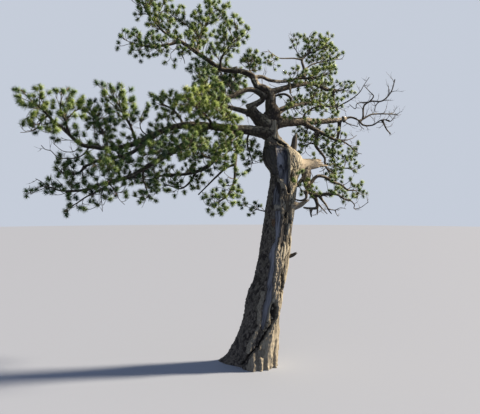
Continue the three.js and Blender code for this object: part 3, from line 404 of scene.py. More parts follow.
# %% Masses of foliage
# Each line: the group it is joined with, the bough it grows on, its radii, how far its twigs reach, the
# bare share of its first stem, how fresh and sunlit its green is, partly painted sun and shade, how full it
# is, and its stems as (depth of the tip, route), with the bare share of a later stem after that where it
# isn't the usual one.
MASS_FACTS = ("group", "on", "radii", "reach", "bare", "fresh", "full", "routes")
MASSES = {
    "foliage_left_tip": ("left", "bough_left_upper", (14, 6), 170, 0.12, 0.6, 0.9, [(-900, [(-1880, 2375),
        (-1970, 2440), (-2040, 2520), (-2110, 2585), (-2190, 2650)]), (-900, [(-2020, 2500), (-2090, 2430),
        (-2140, 2360), (-2200, 2335)])]),
    "foliage_left_high": ("left", "bough_left_upper", (12, 6), 165, 0.15, 0.6, 0.85, [(-900, [(-1815, 2312),
        (-1850, 2450), (-1895, 2560), (-1890, 2640)]), (-800, [(-1848, 2445), (-1790, 2500),
        (-1740, 2560)])]),
    "foliage_left_crest": ("left", "bough_left_upper", (14, 6), 175, 0.15, 0.4, 0.9, [(-420, [(-1430, 2165),
        (-1450, 2290), (-1510, 2400), (-1570, 2500)])]),
    "foliage_left_inner": ("left", "bough_left_upper", (14, 6), 165, 0.15, 0.4, 0.9, [(-700, [(-1140, 2228),
        (-1190, 2380), (-1260, 2500), (-1320, 2610), (-1400, 2680)]), (-700, [(-1300, 2570), (-1310, 2660),
        (-1290, 2740)])]),
    "foliage_left_second": ("left", "bough_left_middle", (12, 5), 130, 0.12, 0.3, 0.8, [(-480,
        [(-1650, 1985), (-1700, 1930), (-1780, 1905), (-1860, 1915), (-1920, 1970)])]),
    "foliage_left_under": ("left", "bough_left_middle", (11, 5), 170, 0.15, 0.3, 0.9, [(-760,
        [(-1230, 2107), (-1290, 2030), (-1350, 1980), (-1430, 1970)])]),
    "foliage_left_low_tip": ("low", "bough_left_low", (16, 6), 130, 0.12, 0.3, 0.85, [(-760, [(-1510, 1800),
        (-1640, 1755), (-1780, 1740), (-1900, 1745), (-1990, 1780)])]),
    "foliage_left_low_under": ("low", "bough_left_low", (10, 5), 112, 0.15, 0.2, 0.7, [(-720,
        [(-1385, 1830), (-1470, 1766), (-1560, 1720), (-1640, 1680), (-1730, 1620), (-1800, 1580)]), (-560,
        [(-1470, 1766), (-1490, 1690), (-1480, 1610)]), (-600, [(-1400, 1810), (-1350, 1740),
        (-1310, 1660)])]),
    "foliage_left_low_mid": ("low", "bough_left_low", (10, 5), 125, 0.15, 0.4, 0.7, [(-260, [(-1070, 1962),
        (-1070, 1870), (-1045, 1790), (-1020, 1710)])]),
    "foliage_mid_front": ("middle", "bough_left", (16, 7), 190, 0.15, 0.78, 1.0, [(-640, [(-360, 2385),
        (-420, 2470), (-500, 2550), (-590, 2620)])]),
    "foliage_mid_right": ("middle", "bough_left", (12, 6), 170, 0.2, 0.78, 0.85, [(-500, [(-120, 2358),
        (-150, 2410), (-210, 2460), (-290, 2510)])]),
    "foliage_mid_low": ("middle", "bough_left", (12, 6), 150, 0.2, 0.6, 0.9, [(-440, [(-180, 2360),
        (-180, 2250), (-210, 2150), (-270, 2080)])]),
    "foliage_mid_crest": ("middle", "bough_left", (13, 6), 165, 0.2, 0.6, 0.8, [(-180, [(-670, 2405),
        (-710, 2490), (-780, 2560), (-870, 2610)])]),
    "foliage_mid_under": ("middle", "bough_left", (13, 5), 170, 0.15, 0.3, 0.95, [(-660, [(-820, 2362),
        (-860, 2260), (-920, 2170), (-1000, 2110)])]),
    "foliage_mid_center": ("middle", "bough_left", (13, 6), 160, 0.2, 0.5, 0.95, [(-600, [(-540, 2405),
        (-530, 2320), (-560, 2240), (-620, 2170)])]),
    "foliage_low_center": ("low", "bough_center_low", (14, 6), 140, 0.12, 0.3, 0.7, [(260, [(-800, 1900),
        (-900, 1890), (-990, 1860)])]),
    "foliage_low_inner": ("low", "bough_center_low", (12, 6), 160, 0.2, 0.4, 0.75, [(280, [(-360, 2058),
        (-470, 2090), (-580, 2070)])]),
    "foliage_hanging": ("low", "bough_left", (20, 7), 140, 0.6, 0.5, 0.8, [(-330, [(-60, 2350),
        (-110, 2230), (-140, 2100), (-150, 1970), (-160, 1830), (-230, 1690), (-350, 1610)])]),
    "foliage_inner_hang": ("low", "bough_left", (12, 5), 105, 0.25, 0.4, 0.7, [(220, [(10, 2350),
        (-30, 2240), (0, 2110), (30, 2010)])]),
    "foliage_top_left": ("crown", "bough_top_left", (17, 6), 145, 0.12, 0.4, 0.75, [(-360, [(-700, 3240),
        (-800, 3207), (-920, 3190), (-1040, 3190), (-1190, 3225)])]),
    "foliage_top_high": ("crown", "bough_top_left", (15, 6), 155, 0.15, 0.5, 0.9, [(-60, [(-610, 3180),
        (-740, 3265), (-860, 3330), (-930, 3405), (-1000, 3485), (-1055, 3580), (-1095, 3685)])]),
    "foliage_top_mid": ("crown", "bough_top_left", (13, 6), 165, 0.15, 0.5, 0.9, [(140, [(-535, 3126),
        (-510, 3260), (-455, 3380), (-410, 3500)])]),
    "foliage_top_right": ("arch", "bough_top_left", (13, 6), 180, 0.15, 0.6, 0.95, [(-400, [(-300, 2962),
        (-290, 3060), (-240, 3140), (-190, 3220), (-150, 3300)])]),
    "foliage_elbow": ("arch", "bough_top", (10, 5), 110, 0.2, 0.4, 0.8, [(160, [(0, 2905), (0, 2980),
        (20, 3050)])]),
    "foliage_arch": ("arch", "bough_arch", (22, 7), 170, 0.12, 0.3, 0.9, [(-330, [(-300, 2640),
        (-380, 2700), (-440, 2780), (-490, 2860)])]),
    "foliage_arch_inner": ("arch", "bough_arch", (12, 6), 165, 0.2, 0.3, 0.9, [(120, [(-160, 2714),
        (-220, 2810), (-290, 2860), (-360, 2880)])]),
    "foliage_crown_right": ("right", "bough_crown", (16, 7), 130, 0.45, 0.7, 0.75, [(330, [(540, 2870),
        (540, 2960), (520, 3050), (580, 3110), (680, 3150), (750, 3200)]), (-60, [(512, 3055), (440, 3066),
        (370, 3066), (290, 3070), (230, 3105)], 0.68), (480, [(545, 2950), (630, 3010), (720, 3030),
        (830, 3050)], 0.3), (200, [(600, 3120), (590, 3200), (575, 3280)])]),
    "foliage_crown_low": ("right", "bough_crown", (13, 5), 105, 0.12, 0.7, 0.7, [(-120, [(590, 2865),
        (680, 2880), (770, 2910)])]),
    "foliage_right_tip": ("right", "bough_right_upper", (14, 5), 100, 0.12, 0.5, 0.4, [(560, [(840, 2746),
        (910, 2748), (985, 2780)])]),
    "foliage_right_back": ("right", "bough_back_right", (16, 7), 190, 0.12, 0.6, 0.38, [(900, [(540, 2610),
        (640, 2630), (760, 2650)]), (640, [(610, 2625), (650, 2730), (700, 2820)])]),
    "foliage_right_inner": ("right", "bough_right", (12, 5), 110, 0.2, 0.7, 0.5, [(-160, [(530, 2450),
        (548, 2510), (636, 2570), (740, 2585), (834, 2590)])]),
    "foliage_right_low": ("right_low", "bough_right", (15, 5), 145, 0.3, 0.4, 0.24, [(600, [(895, 2450),
        (886, 2330), (872, 2262), (830, 2182), (824, 2102), (852, 2012), (915, 1972), (1010, 1970)])]),
    "foliage_right_knot": ("right_low", "bough_right_low", (15, 6), 115, 0.1, 0.4, 0.26, [(320,
        [(670, 2342), (660, 2260), (655, 2200), (700, 2135), (748, 2068), (750, 2015), (775, 1958),
        (829, 1925)]), (330, [(656, 2215), (600, 2215), (545, 2190)])]),
    "foliage_right_far": ("right_low", "bough_right_low", (12, 4), 110, 0.12, 0.5, 0.16, [(80, [(850, 2250),
        (930, 2235), (1000, 2190), (1060, 2130)])]),
    "foliage_skirt": ("skirt", "bough_skirt_arch", (9, 4), 95, 0.12, 0.4, 0.55, [(190, [(970, 1750),
        (1040, 1745), (1110, 1750)])]),
    "foliage_skirt_low": ("skirt", "bough_skirt", (16, 5), 95, 0.12, 0.6, 0.42, [(-260, [(630, 1700),
        (700, 1700), (790, 1712), (880, 1700), (950, 1650)]), (-140, [(650, 1700), (580, 1730),
        (510, 1742)])]),
    "foliage_trunk_spray": ("skirt", "trunk", (9, 4), 130, 0.4, 0.4, 0.8, [(190, [(220, 1510), (90, 1550),
        (0, 1570)])]),
    "dead_twigs_right": ("dead", "bough_right", (20, 11), 130, 0.12, 0.0, 0.0, [(430, [(930, 2455),
        (1010, 2478), (1100, 2440)]), (620, [(1100, 2440), (1160, 2478), (1210, 2505), (1320, 2512),
        (1480, 2505)]), (330, [(1090, 2448), (1135, 2398), (1225, 2400), (1320, 2450), (1400, 2445)]), (520,
        [(1130, 2460), (1140, 2590), (1200, 2635), (1320, 2640), (1410, 2730), (1450, 2860)]), (380,
        [(1320, 2450), (1370, 2350), (1410, 2310)])]),
    "foliage_back_left": ("arch", "bough_back_left", (20, 7), 200, 0.12, 0.4, 0.8, [(860, [(-260, 2590),
        (-360, 2620), (-470, 2650)]), (420, [(-260, 2590), (-200, 2710), (-150, 2810)])]),
}
MASSES = {name: dict(zip(MASS_FACTS, row)) for name, row in MASSES.items()}

# %% Limbs from the tables
# A later stem of a mass is this much thicker and thinner, at its root and its tip, than the first one's
# tip.
STEM_THICKER = 1.3
STEM_THINNER = 0.7

trunk_line = smooth_line([(x, 0, z) for z, x, r in TRUNK])
trunk_girth = smooth_line([(r, 0, z) for z, x, r in TRUNK])


def girth_at(height):
    """The trunk's radius at a height, without its flutes and roots."""
    return np.interp(height, trunk_girth[:, 2], trunk_girth[:, 0])


trunk_limb = {"line": trunk_line, "length": length_of(trunk_line)}
limbs = {"trunk": [trunk_limb]}
for name, facts in BOUGHS.items():
    main = limb(facts["route"], facts["deep"], facts["radii"], limbs[facts["on"]], facts.get("taper", 1.0))
    limbs[name] = [main]
    if "arm" in facts:
        radii, deep, route = facts["arm"]
        limbs[name].append(limb(route, deep, radii, [main]))
snags = {name: limb(s["route"], s["deep"], s["radii"], [trunk_limb]) for name, s in SNAGS.items()}
stems = {}
for name, mass in MASSES.items():
    own = stems[name] = []
    thin = (mass["radii"][1] * STEM_THICKER, mass["radii"][1] * STEM_THINNER)
    for deep, route, *own_bare in mass["routes"]:
        own.append(limb(route, deep, thin if own else mass["radii"], own or limbs[mass["on"]]))
print("boughs", len(BOUGHS), "masses", len(MASSES), "metres of bough",
      round(sum(piece["length"] for name in BOUGHS for piece in limbs[name]) * MM, 1))

# %% [markdown]
# ## Making skins
# All the wood of this tree is tubes: rings of points along a line. Rings are carried along the line without
# twist, so a bend doesn't wring the bark. Many tubes of the same build are made at once, as one large
# array, and both ends close on a single point, so that each tube is a sealed skin.

# %% Tubes as arrays
def carried_frames(centres):
    """For lines of points, the direction at each point and two unit vectors square to it. Each pair is the
    one before it less its part along the new direction, so the pair doesn't turn about the line."""
    ahead = unit(np.gradient(centres, axis=-2))
    across = np.empty_like(centres)
    aside = np.where(np.abs(ahead[..., 0, 2:]) < 0.8, [0.0, 0.0, 1.0], [1.0, 0.0, 0.0])
    across[..., 0, :] = unit(np.cross(ahead[..., 0, :], aside))
    for k in range(1, centres.shape[-2]):
        kept = across[..., k - 1, :]
        slip = (kept * ahead[..., k, :]).sum(axis=-1, keepdims=True)
        across[..., k, :] = unit(kept - slip * ahead[..., k, :])
    return ahead, across, np.cross(ahead, across)


def repeated(faces, starts):
    """The same faces once for each start, which is added to their points' numbers."""
    return (faces[None] + np.asarray(starts)[:, None, None]).reshape(-1, 3)


def tube_faces(tubes, rings, sides):
    """Triangles of closed tubes. A tube's points come ring by ring, then its two end points."""
    ring, side = np.meshgrid(np.arange(rings - 1), np.arange(sides), indexing="ij")
    a = ring * sides + side
    b = ring * sides + (side + 1) % sides
    walls = np.stack([a, b, b + sides, a, b + sides, a + sides], axis=-1).reshape(-1, 3)
    rim = np.arange(sides)
    beyond = (rim + 1) % sides
    last = (rings - 1) * sides
    foot = np.stack([np.full(sides, rings * sides), beyond, rim], axis=-1)
    tip = np.stack([np.full(sides, rings * sides + 1), last + rim, last + beyond], axis=-1)
    return repeated(np.vstack([walls, foot, tip]), np.arange(tubes) * (rings * sides + 2))


def tube_points(centres, radii, sides):
    """Points of closed tubes: ring point = centre + radius * (across * cos turn + up * sin turn)."""
    ahead, across, up = carried_frames(centres)
    turn = turns(sides)[:, None]
    spokes = across[..., None, :] * np.cos(turn) + up[..., None, :] * np.sin(turn)
    walls = centres[..., None, :] + spokes * radii[..., None, None]
    flat = walls.reshape(len(centres), -1, 3)
    return np.concatenate([flat, centres[:, :1], centres[:, -1:]], axis=1).reshape(-1, 3)


def skin(name, points, faces, materials, marks=None, tint=None):
    """A mesh object from arrays, in metres. marks are named values at the points, for materials to read,
    and tint is the number of each face's material."""
    mesh = bpy.data.meshes.new(name)
    mesh.vertices.add(len(points))
    mesh.vertices.foreach_set("co", (points * MM).astype(np.float32).ravel())
    mesh.loops.add(faces.size)
    mesh.loops.foreach_set("vertex_index", faces.astype(np.int32).ravel())
    mesh.polygons.add(len(faces))
    mesh.polygons.foreach_set("loop_start", np.arange(0, faces.size, 3, dtype=np.int32))
    for material in materials:
        mesh.materials.append(material)
    if tint is not None:
        mesh.polygons.foreach_set("material_index", tint.astype(np.int32))
    mesh.update(calc_edges=True)
    mesh.polygons.foreach_set("use_smooth", np.ones(len(faces), bool))
    for mark, values in (marks or {}).items():
        attribute = mesh.attributes.new(mark, "FLOAT", "POINT")
        attribute.data.foreach_set("value", np.asarray(values, np.float32).ravel())
    piece = bpy.data.objects.new(name, mesh)
    scene.collection.objects.link(piece)
    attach(piece, "root")
    return piece


# %% [markdown]
# ## The trunk's surface
# Old pine bark is a crust of scales between long furrows. On this tree the front has died in places and
# been stripped to grey wood: a tall panel under the fork, a lens below it and a narrow strip down to the
# foot. The sunny side is ropes of bark, partly bleached and partly painted paler as sunlit, with black slots
# between them that are partly painted shade. Low down a thin cleft winds to the left between a scaly ridge
# and a cream one, and the heel beside it is bare, ribbed root wood, painted paler in part as if lit. The
# trunk is one function of bearing and height: the flutes and roots of the solid, plus the relief of each
# such patch. The patches are bands, each with its left and right edge at a few heights, as they show from
# the standpoint.

# %% Patches on the trunk: (height, left edge, right edge), in mm
STRIPPED = (
    ((2190, 268, 340), (2130, 264, 380), (2000, 270, 384), (1930, 280, 386), (1870, 302, 387),
     (1820, 345, 388), (1720, 383, 396)),
    ((1810, 262, 285), (1760, 245, 295), (1700, 232, 300), (1640, 230, 306), (1590, 236, 306),
     (1555, 245, 300)),
    ((1550, 250, 310), (1480, 248, 312), (1400, 250, 310), (1340, 262, 300), (1240, 246, 276),
     (1130, 195, 248), (970, 190, 245), (920, 172, 234), (776, 170, 230), (642, 160, 222), (600, 135, 200),
     (560, 128, 188), (490, 122, 180), (393, 119, 162), (355, 128, 140)),
)
BACK_STRIPPED = (
    ((2150, 300, 330), (2050, 300, 400), (1800, 280, 380), (1500, 230, 330), (1100, 150, 260),
     (700, 50, 160), (300, -20, 90), (150, 20, 60)),
)
HOLLOWS = (
    ((1430, 325, 345), (1390, 312, 378), (1300, 312, 372), (1230, 300, 352), (1180, 292, 320)),
    ((1835, 255, 285), (1790, 252, 312), (1740, 262, 318), (1710, 280, 310)),
    ((2200, 130, 262), (2080, 112, 262), (1980, 130, 262), (1900, 200, 270)),
    ((150, 65, 150), (110, 62, 155), (72, 80, 140)),
)
SLOTS = (
    ((2265, 232, 250), (2220, 292, 322), (2170, 368, 396)),
    ((1945, 408, 418), (1900, 402, 432), (1850, 405, 430), (1825, 420, 428)),
    ((1810, 383, 392), (1760, 380, 400), (1715, 388, 398)),
    ((1660, 416, 426), (1620, 412, 432), (1570, 414, 428)),
    ((1530, 350, 372), (1490, 345, 380), (1465, 352, 368)),
    ((1475, 400, 412), (1440, 396, 424), (1410, 400, 415)),
    ((1275, 392, 400), (1230, 388, 406), (1190, 394, 402)),
    ((900, 316, 332), (830, 310, 338), (757, 306, 330), (690, 290, 308), (665, 294, 304)),
    ((450, 216, 238), (430, 210, 238), (355, 172, 200), (270, 114, 142), (173, 56, 84), (106, -29, -1),
     (60, -59, -31), (0, -104, -76)),
)
KNOT_HOLE = (((620, 225, 262), (580, 208, 272), (520, 205, 270), (470, 208, 262), (430, 222, 240)),)
PALE = (
    ((2450, 190, 245), (2350, 185, 262), (2290, 215, 285), (2240, 290, 335), (2200, 345, 392),
     (2165, 392, 430)),
    ((1868, 268, 330), (1850, 270, 338), (1800, 300, 348), (1755, 335, 352)),
    ((1665, 302, 320), (1575, 302, 318)),
    ((1600, 240, 260), (1550, 244, 258)),
    ((1590, 262, 310), (1558, 250, 300)),
    ((1200, 262, 300), (1130, 252, 290), (1000, 250, 330), (900, 238, 300), (776, 232, 300),
     (680, 226, 290), (600, 262, 290), (500, 268, 285), (440, 238, 262), (350, 196, 225), (270, 138, 170),
     (215, 88, 112)),
    ((740, 110, 148), (660, 105, 148), (583, 70, 118), (480, 68, 115), (393, 70, 119), (330, 40, 85),
     (270, 20, 60), (200, -20, 25), (116, -45, 5)),
)
RUSTY = (((1460, 218, 250), (1420, 214, 252), (1380, 222, 246)),)
# Each kind: its bands, how far it is raised in mm, and over how many mm its edge is soft.
PATCHES = {
    "stripped": (STRIPPED, -13, 12), "back": (BACK_STRIPPED, -11, 16), "hollow": (HOLLOWS, -24, 26),
    "slot": (SLOTS, -26, 9), "knot": (KNOT_HOLE, -30, 16), "pale": (PALE, 15, 14), "rusty": (RUSTY, -4, 14),
}

# %% Trunk relief
# Sizes and lifts are in mm. A stretch is how many times longer than wide the parts of a pattern are. More
# of the trunk's faces are crowded to its front.
TRUNK_SIDES = 190
TRUNK_RINGS = 490
CROWDED = np.radians(20)
SCALE_SIZE, SCALE_STRETCH, SCALE_WAVERS, SCALE_LIFT = 19, 1.7, 7, 11
ROPE_SIZE, ROPE_STRETCH, ROPE_WAVERS, ROPE_LIFT = 27, 6.5, 8, 13
RAGGED = 9
SWELLING_LIFT, GRAIN_LIFT, LIP_LIFT, CURL_LIFT = 4, 3, 10, 16
HEEL_TOP, HEEL_FADES, HEEL_EDGE = 440, 90, (20, 45)
RIBS, RIB_LIFT, RIB_LIFT_LOW, RIB_LOW_HEIGHT = 13, 6, 9, 120
GROUND_CHUNKS, CHUNK_LIFT = 95, 12
SPIRE_SMOOTH_FROM, SPIRE_SMOOTH_TO = 2480, 2560
LEAST_RADIUS = 12


def inside(band, across, up):
    """How many mm inside a band a place is, and less than 0 outside it: the least of its distances to the
    left edge, the right edge and both ends."""
    edges = np.array(sorted(band), float)
    left, right = (np.interp(up, edges[:, 0], edges[:, k]) for k in (1, 2))
    ends = np.minimum(up - edges[0, 0], edges[-1, 0] - up)
    return np.minimum(np.minimum(across - left, right - across), ends)


def patched(bands, across, up, soft):
    """How fully a place lies in any of some bands: 0 a little outside, 1 about half of soft mm inside."""
    return np.max([ease(inside(band, across, up), -0.4 * soft, 0.6 * soft) for band in bands], axis=0)


def drawn_out(points, times):
    """The points at which a pattern is read so that it comes out longer along the trunk."""
    return points / [1, 1, times]


def trunk_surface(bearing, height, axis):
    """Radius of the trunk's surface from its axis, and the marks for its material. Radius = girth * (1 +
    flutes + roots) + scales on the shady side or ropes on the sunny one + the lift of each patch + a lip
    round the stripped ones + ribs on the heel. In each call of lumps the second number is the size of its
    lumps in mm, and the last is its seed."""
    share = 1 + sum(depth * np.cos(count * (bearing + twist * height)) for count, depth, twist in FLUTES)
    for root, spread in ROOTS:
        toward = np.maximum(0, np.cos(bearing - root)) ** ROOT_NARROWS
        share += spread * toward * np.exp(-height / ROOT_HEIGHT)
    girth = girth_at(height)
    spot = np.stack([girth * share * np.cos(bearing), girth * share * np.sin(bearing), height], axis=-1)
    across, up = np.moveaxis(shown_at(spot + axis[..., None] * [1, 0, 0]), -1, 0)
    across = across + RAGGED * (lumps(drawn_out(spot, 3), 22, 11) + 0.6 * lumps(drawn_out(spot, 2), 11, 16))
    up = up + 1.5 * RAGGED * lumps(spot, 30, 12)
    front = np.sin(bearing) < 0
    patch = {}
    for name, (bands, lift, soft) in PATCHES.items():
        patch[name] = patched(bands, across, up, soft) * (~front if name == "back" else front)
    near = np.max([inside(band, across, up) for band in STRIPPED], axis=0)
    lip = ease(near, -34, -14) * (1 - ease(near, -12, 0)) * front

    scales = drawn_out(spot, SCALE_STRETCH)
    scales = scales + SCALE_WAVERS * np.stack([lumps(scales, 30, k) for k in (1, 2, 3)], axis=-1)
    scale_edge, scale = flakes(scales, SCALE_SIZE)
    ropes = drawn_out(spot, ROPE_STRETCH)
    ropes = ropes + ROPE_WAVERS * np.stack([lumps(spot, 60, k) for k in (4, 5, 6)], axis=-1)
    rope_edge, rope = flakes(ropes, ROPE_SIZE, 1)
    streak = lumps(drawn_out(spot, 14), 8, 7) + lumps(drawn_out(spot, 9), 19, 17)
    # The side towards the sun: its tan ropes are partly bleached bark and partly painted paler as sunlit.
    bleach_and_sunlight = ease(np.cos(bearing) + 0.25 * lumps(drawn_out(spot, 3), 60, 8), -0.02, 0.34)
    edge = np.where(bleach_and_sunlight > 0.5, rope_edge, scale_edge)
    plate = np.where(bleach_and_sunlight > 0.5, rope, scale)
    beside = across - np.interp(up, *np.array(sorted(SLOTS[-1]), float).T[[0, 2]])
    heel = ease(beside, *HEEL_EDGE) * (1 - ease(up, HEEL_TOP - HEEL_FADES, HEEL_TOP)) * front
    ribs = np.cos(RIBS * bearing + 2.4 * lumps(drawn_out(spot, 3), 70, 9))
    ribs = (ribs + 0.6 * lumps(spot, 24, 10)) * heel

    bare = np.maximum(patch["stripped"], patch["back"])
    bark = (1 - bare) * (1 - 0.7 * heel) * (1 - 0.8 * patch["hollow"])
    deep = np.where(bleach_and_sunlight > 0.5, ROPE_LIFT, SCALE_LIFT)
    crust = bark * (deep * ((0.35 + 0.65 * plate) * ease(edge, 0.0, 0.3) - 0.5))
    relief = crust + SWELLING_LIFT * lumps(spot, 90, 13)
    relief = relief + GRAIN_LIFT * streak * (bare + heel + patch["hollow"]) + LIP_LIFT * lip * (1 - heel)
    relief += sum(lift * patch[name] for name, (bands, lift, soft) in PATCHES.items())
    rib_lift = RIB_LIFT + RIB_LIFT_LOW * np.exp(-height / RIB_LOW_HEIGHT)
    relief += rib_lift * ribs + CURL_LIFT * patch["knot"] * lumps(spot, 20, 14)
    relief += CHUNK_LIFT * lumps(spot, 55, 15) * (1 - ease(height, 0, GROUND_CHUNKS))
    rough = ease(height, SPIRE_SMOOTH_TO, SPIRE_SMOOTH_FROM)
    radius = np.maximum(girth * share + relief * (0.3 + 0.7 * rough), LEAST_RADIUS)
    curl = ease(lumps(spot, 20, 14), 0.1, 0.5)
    # Cracks are painted darker on the sunny side: painted shade in the gaps between sunlit plates.
    gap = bark * (1 - ease(edge, 0.03, 0.16)) * (0.55 + 0.35 * bleach_and_sunlight)
    # Slots and the knot hole are painted near-black: painted shade in the recesses.
    dark = np.maximum(patch["slot"], patch["knot"] * (1 - curl))
    marks = {
        "stripped": bare,
        "crack_and_shade": np.clip(np.maximum(gap * (1 - 0.5 * patch["pale"]), dark), 0, 1),
        # On bare wood and in the hollows this mark turns the grey darker towards the right, from 250 to 390
        # mm.
        "plate": np.where(bare + patch["hollow"] > 0.5, ease(across, 250, 390) + 0.9 * streak, plate),
        "bleach_and_sunlight": bleach_and_sunlight * (0.55 + 0.45 * ease(plate, 0.05, 0.6)),
        # Partly real pale wood and partly painted light: a painted highlight on the lips of the stripped wood
        # where they face the sun, and the bare heel painted paler as if lit.
        "bleach_and_highlight": np.clip(0.85 * patch["pale"] + 0.45 * lip * bleach_and_sunlight + heel * (0.7 + 0.3 * streak)
                            + 0.8 * patch["knot"] * curl, 0, 1) * (1 - dark),
        "shaded": np.clip(patch["hollow"], 0, 1),
        "rusty": patch["rusty"],
    }
    return radius, marks


turn, height = np.meshgrid(turns(TRUNK_SIDES), np.linspace(0, TRUNK[-1, 0], TRUNK_RINGS), indexing="xy")
bearing = turn - np.pi / 2 - CROWDED * np.sin(turn)
axis_x = np.interp(height, trunk_line[:, 2], trunk_line[:, 0])
radius, trunk_marks = trunk_surface(bearing, height, axis_x)
trunk_points = np.stack([axis_x + radius * np.cos(bearing), radius * np.sin(bearing), height], axis=-1)
trunk_ends = np.array([[axis_x[0, 0], 0, 0], [axis_x[-1, 0], 0, TRUNK[-1, 0]]])
trunk_points = np.vstack([trunk_points.reshape(-1, 3), trunk_ends])
trunk_marks = {name: np.append(values.ravel(), [0, 0]) for name, values in trunk_marks.items()}
print("trunk", len(trunk_points), "points, widest", round(float(radius.max())), "mm from the axis")

# %% [markdown]
# ### Pine bark and dead wood
# The crust is grey-brown scales that flake to paler, greener faces, with near-black cracks, partly their
# own dark and partly painted shade. The sunny side is partly bleached to tan and partly painted paler as
# sunlit, the hollows are painted dark as shade, and stripped wood is silver-blue with streaks along the
# grain.
# Each of these is a layer of two colours with its own fine pattern, laid over the last where the mark of
# the surface function says so. The fine patterns are the grit and the fibres that are too small for the
# mesh.

# %% Bark of the trunk
# Waves in a metre. Grit of 6 mm and fibres 4 mm wide are coarser than the real ones, so that they still
# show, and a fibre is 17 times longer than wide. A patch of lichen is about 9 cm across.
GRIT = 1 / 0.006
FIBRE, FIBRE_SHARE = 1 / 0.004, 0.06
LICHEN_PATCH = 1 / 0.09
BARK_ROUGH = (0.75, 1.0)
BARK_BUMP, BARK_BUMP_HIGH = 0.7, 0.003
MARKS = ("stripped", "crack_and_shade", "plate", "bleach_and_sunlight", "bleach_and_highlight", "shaded", "rusty")


def bark_material(name, crust, lichen, sun, wood, pale, crack_and_shade):
    """Scaly pine bark. Each layer's two colours mix by its own pattern, and the layer covers those before
    it by its mark. Grit and fibres also roughen the surface and lift the bump."""
    material, tree, shader = new_material(name)
    place_at = add(tree, "ShaderNodeTexCoord").outputs["Object"]
    mark = {key: add(tree, "ShaderNodeAttribute", attribute_name=key).outputs["Fac"] for key in MARKS}
    grit = add(tree, "ShaderNodeTexNoise", {"Vector": place_at, "Scale": GRIT, "Detail": 4.0}).outputs["Fac"]
    patch = add(tree, "ShaderNodeTexNoise", {"Vector": place_at, "Scale": LICHEN_PATCH,
                                             "Detail": 3.0}).outputs["Fac"]
    drawn = {"Vector": place_at, "Scale": (1.0, 1.0, FIBRE_SHARE)}
    along = add(tree, "ShaderNodeMapping", drawn).outputs["Vector"]
    fibre = add(tree, "ShaderNodeTexNoise", {"Vector": along, "Scale": FIBRE, "Detail": 3.0}).outputs["Fac"]
    speck = add(tree, "ShaderNodeMath", {0: mark["plate"], 1: grit}, operation="ADD").outputs[0]
    grain = add(tree, "ShaderNodeMath", {0: mark["plate"], 1: fibre}, operation="ADD").outputs[0]
    crusted = add(tree, "ShaderNodeMapRange", {"Value": patch, "From Min": 0.52, "From Max": 0.66})
    colour = linear(crust[0])
    # Each layer: where it lies, its pattern, the pattern's values for its first and second colour, and
    # these.
    layers = (
        (1.0, speck, 0.55, 1.3, crust),
        (crusted.outputs["Result"], grit, 0.3, 0.7, (crust[1], lichen)),
        # Painted sunlight: tan where the bark faces the sun or upwards, on the trunk partly real bleaching
        # too.
        (mark["bleach_and_sunlight"], speck, 0.5, 1.3, sun),
        (mark["rusty"], grit, 0.3, 0.7, (0x5A4636, 0x8E7458)),
        (mark["stripped"], grain, 1.75, -0.25, wood),
        (mark["shaded"], grain, 1.9, 0.1, (0x191817, 0x4F4C49)),
        # Pale wood, with painted highlights on the sunlit lips and painted light on the heel.
        (mark["bleach_and_highlight"], fibre, 0.3, 0.7, pale),
        # Cracks, slots and the knot hole: near-black, partly the bark's own dark and partly painted shade.
        (mark["crack_and_shade"], grit, 0.3, 0.8, crack_and_shade),
    )
    for where, pattern, low, high, (first, second) in layers:
        spread = add(tree, "ShaderNodeMapRange", {"Value": pattern, "From Min": low, "From Max": high},
                     interpolation_type="SMOOTHSTEP").outputs["Result"]
        pair = add(tree, "ShaderNodeMix", {0: spread, 6: linear(first), 7: linear(second)}, data_type="RGBA")
        laid = {0: where, 6: colour, 7: pair.outputs[2]}
        colour = add(tree, "ShaderNodeMix", laid, data_type="RGBA").outputs[2]
    tree.links.new(colour, shader.inputs["Base Color"])
    smoothest, roughest = BARK_ROUGH
    rough = add(tree, "ShaderNodeMapRange", {"Value": grit, "To Min": smoothest, "To Max": roughest})
    tree.links.new(rough.outputs["Result"], shader.inputs["Roughness"])
    raised = add(tree, "ShaderNodeMath", {0: grit, 1: fibre}, operation="ADD").outputs[0]
    bump = add(tree, "ShaderNodeBump", {"Height": raised, "Strength": BARK_BUMP, "Distance": BARK_BUMP_HIGH})
    tree.links.new(bump.outputs["Normal"], shader.inputs["Normal"])
    return material


# Old bark: dark grey scales with paler faces, tan ropes on the sun side, partly bleached and partly painted
# sunlight, and silver-blue wood where it is stripped.
old_pine_bark = bark_material("old_pine_bark", crust=(0x252220, 0x7E766A), lichen=0x75705F,
                              sun=(0x726A58, 0xCCC3A9), wood=(0x24262D, 0xA2A3A8),
                              pale=(0x8E8676, 0xC8BEA6), crack_and_shade=(0x100E0C, 0x261F1A))
trunk_faces = tube_faces(1, TRUNK_RINGS, TRUNK_SIDES)
bark_trunk = skin("bark_trunk", trunk_points, trunk_faces, [old_pine_bark], trunk_marks)
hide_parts("trunk")
print("bark_trunk", len(trunk_faces), "triangles")

# %% [markdown]
# ## Boughs
# A bough swells where it leaves its parent, wanders a little from its line and carries smaller plates of
# the same bark. The plates shrink with the bough's radius. Upper sides are painted paler, as sunlit, and
# the broken stubs have lost their bark and end in splinters.

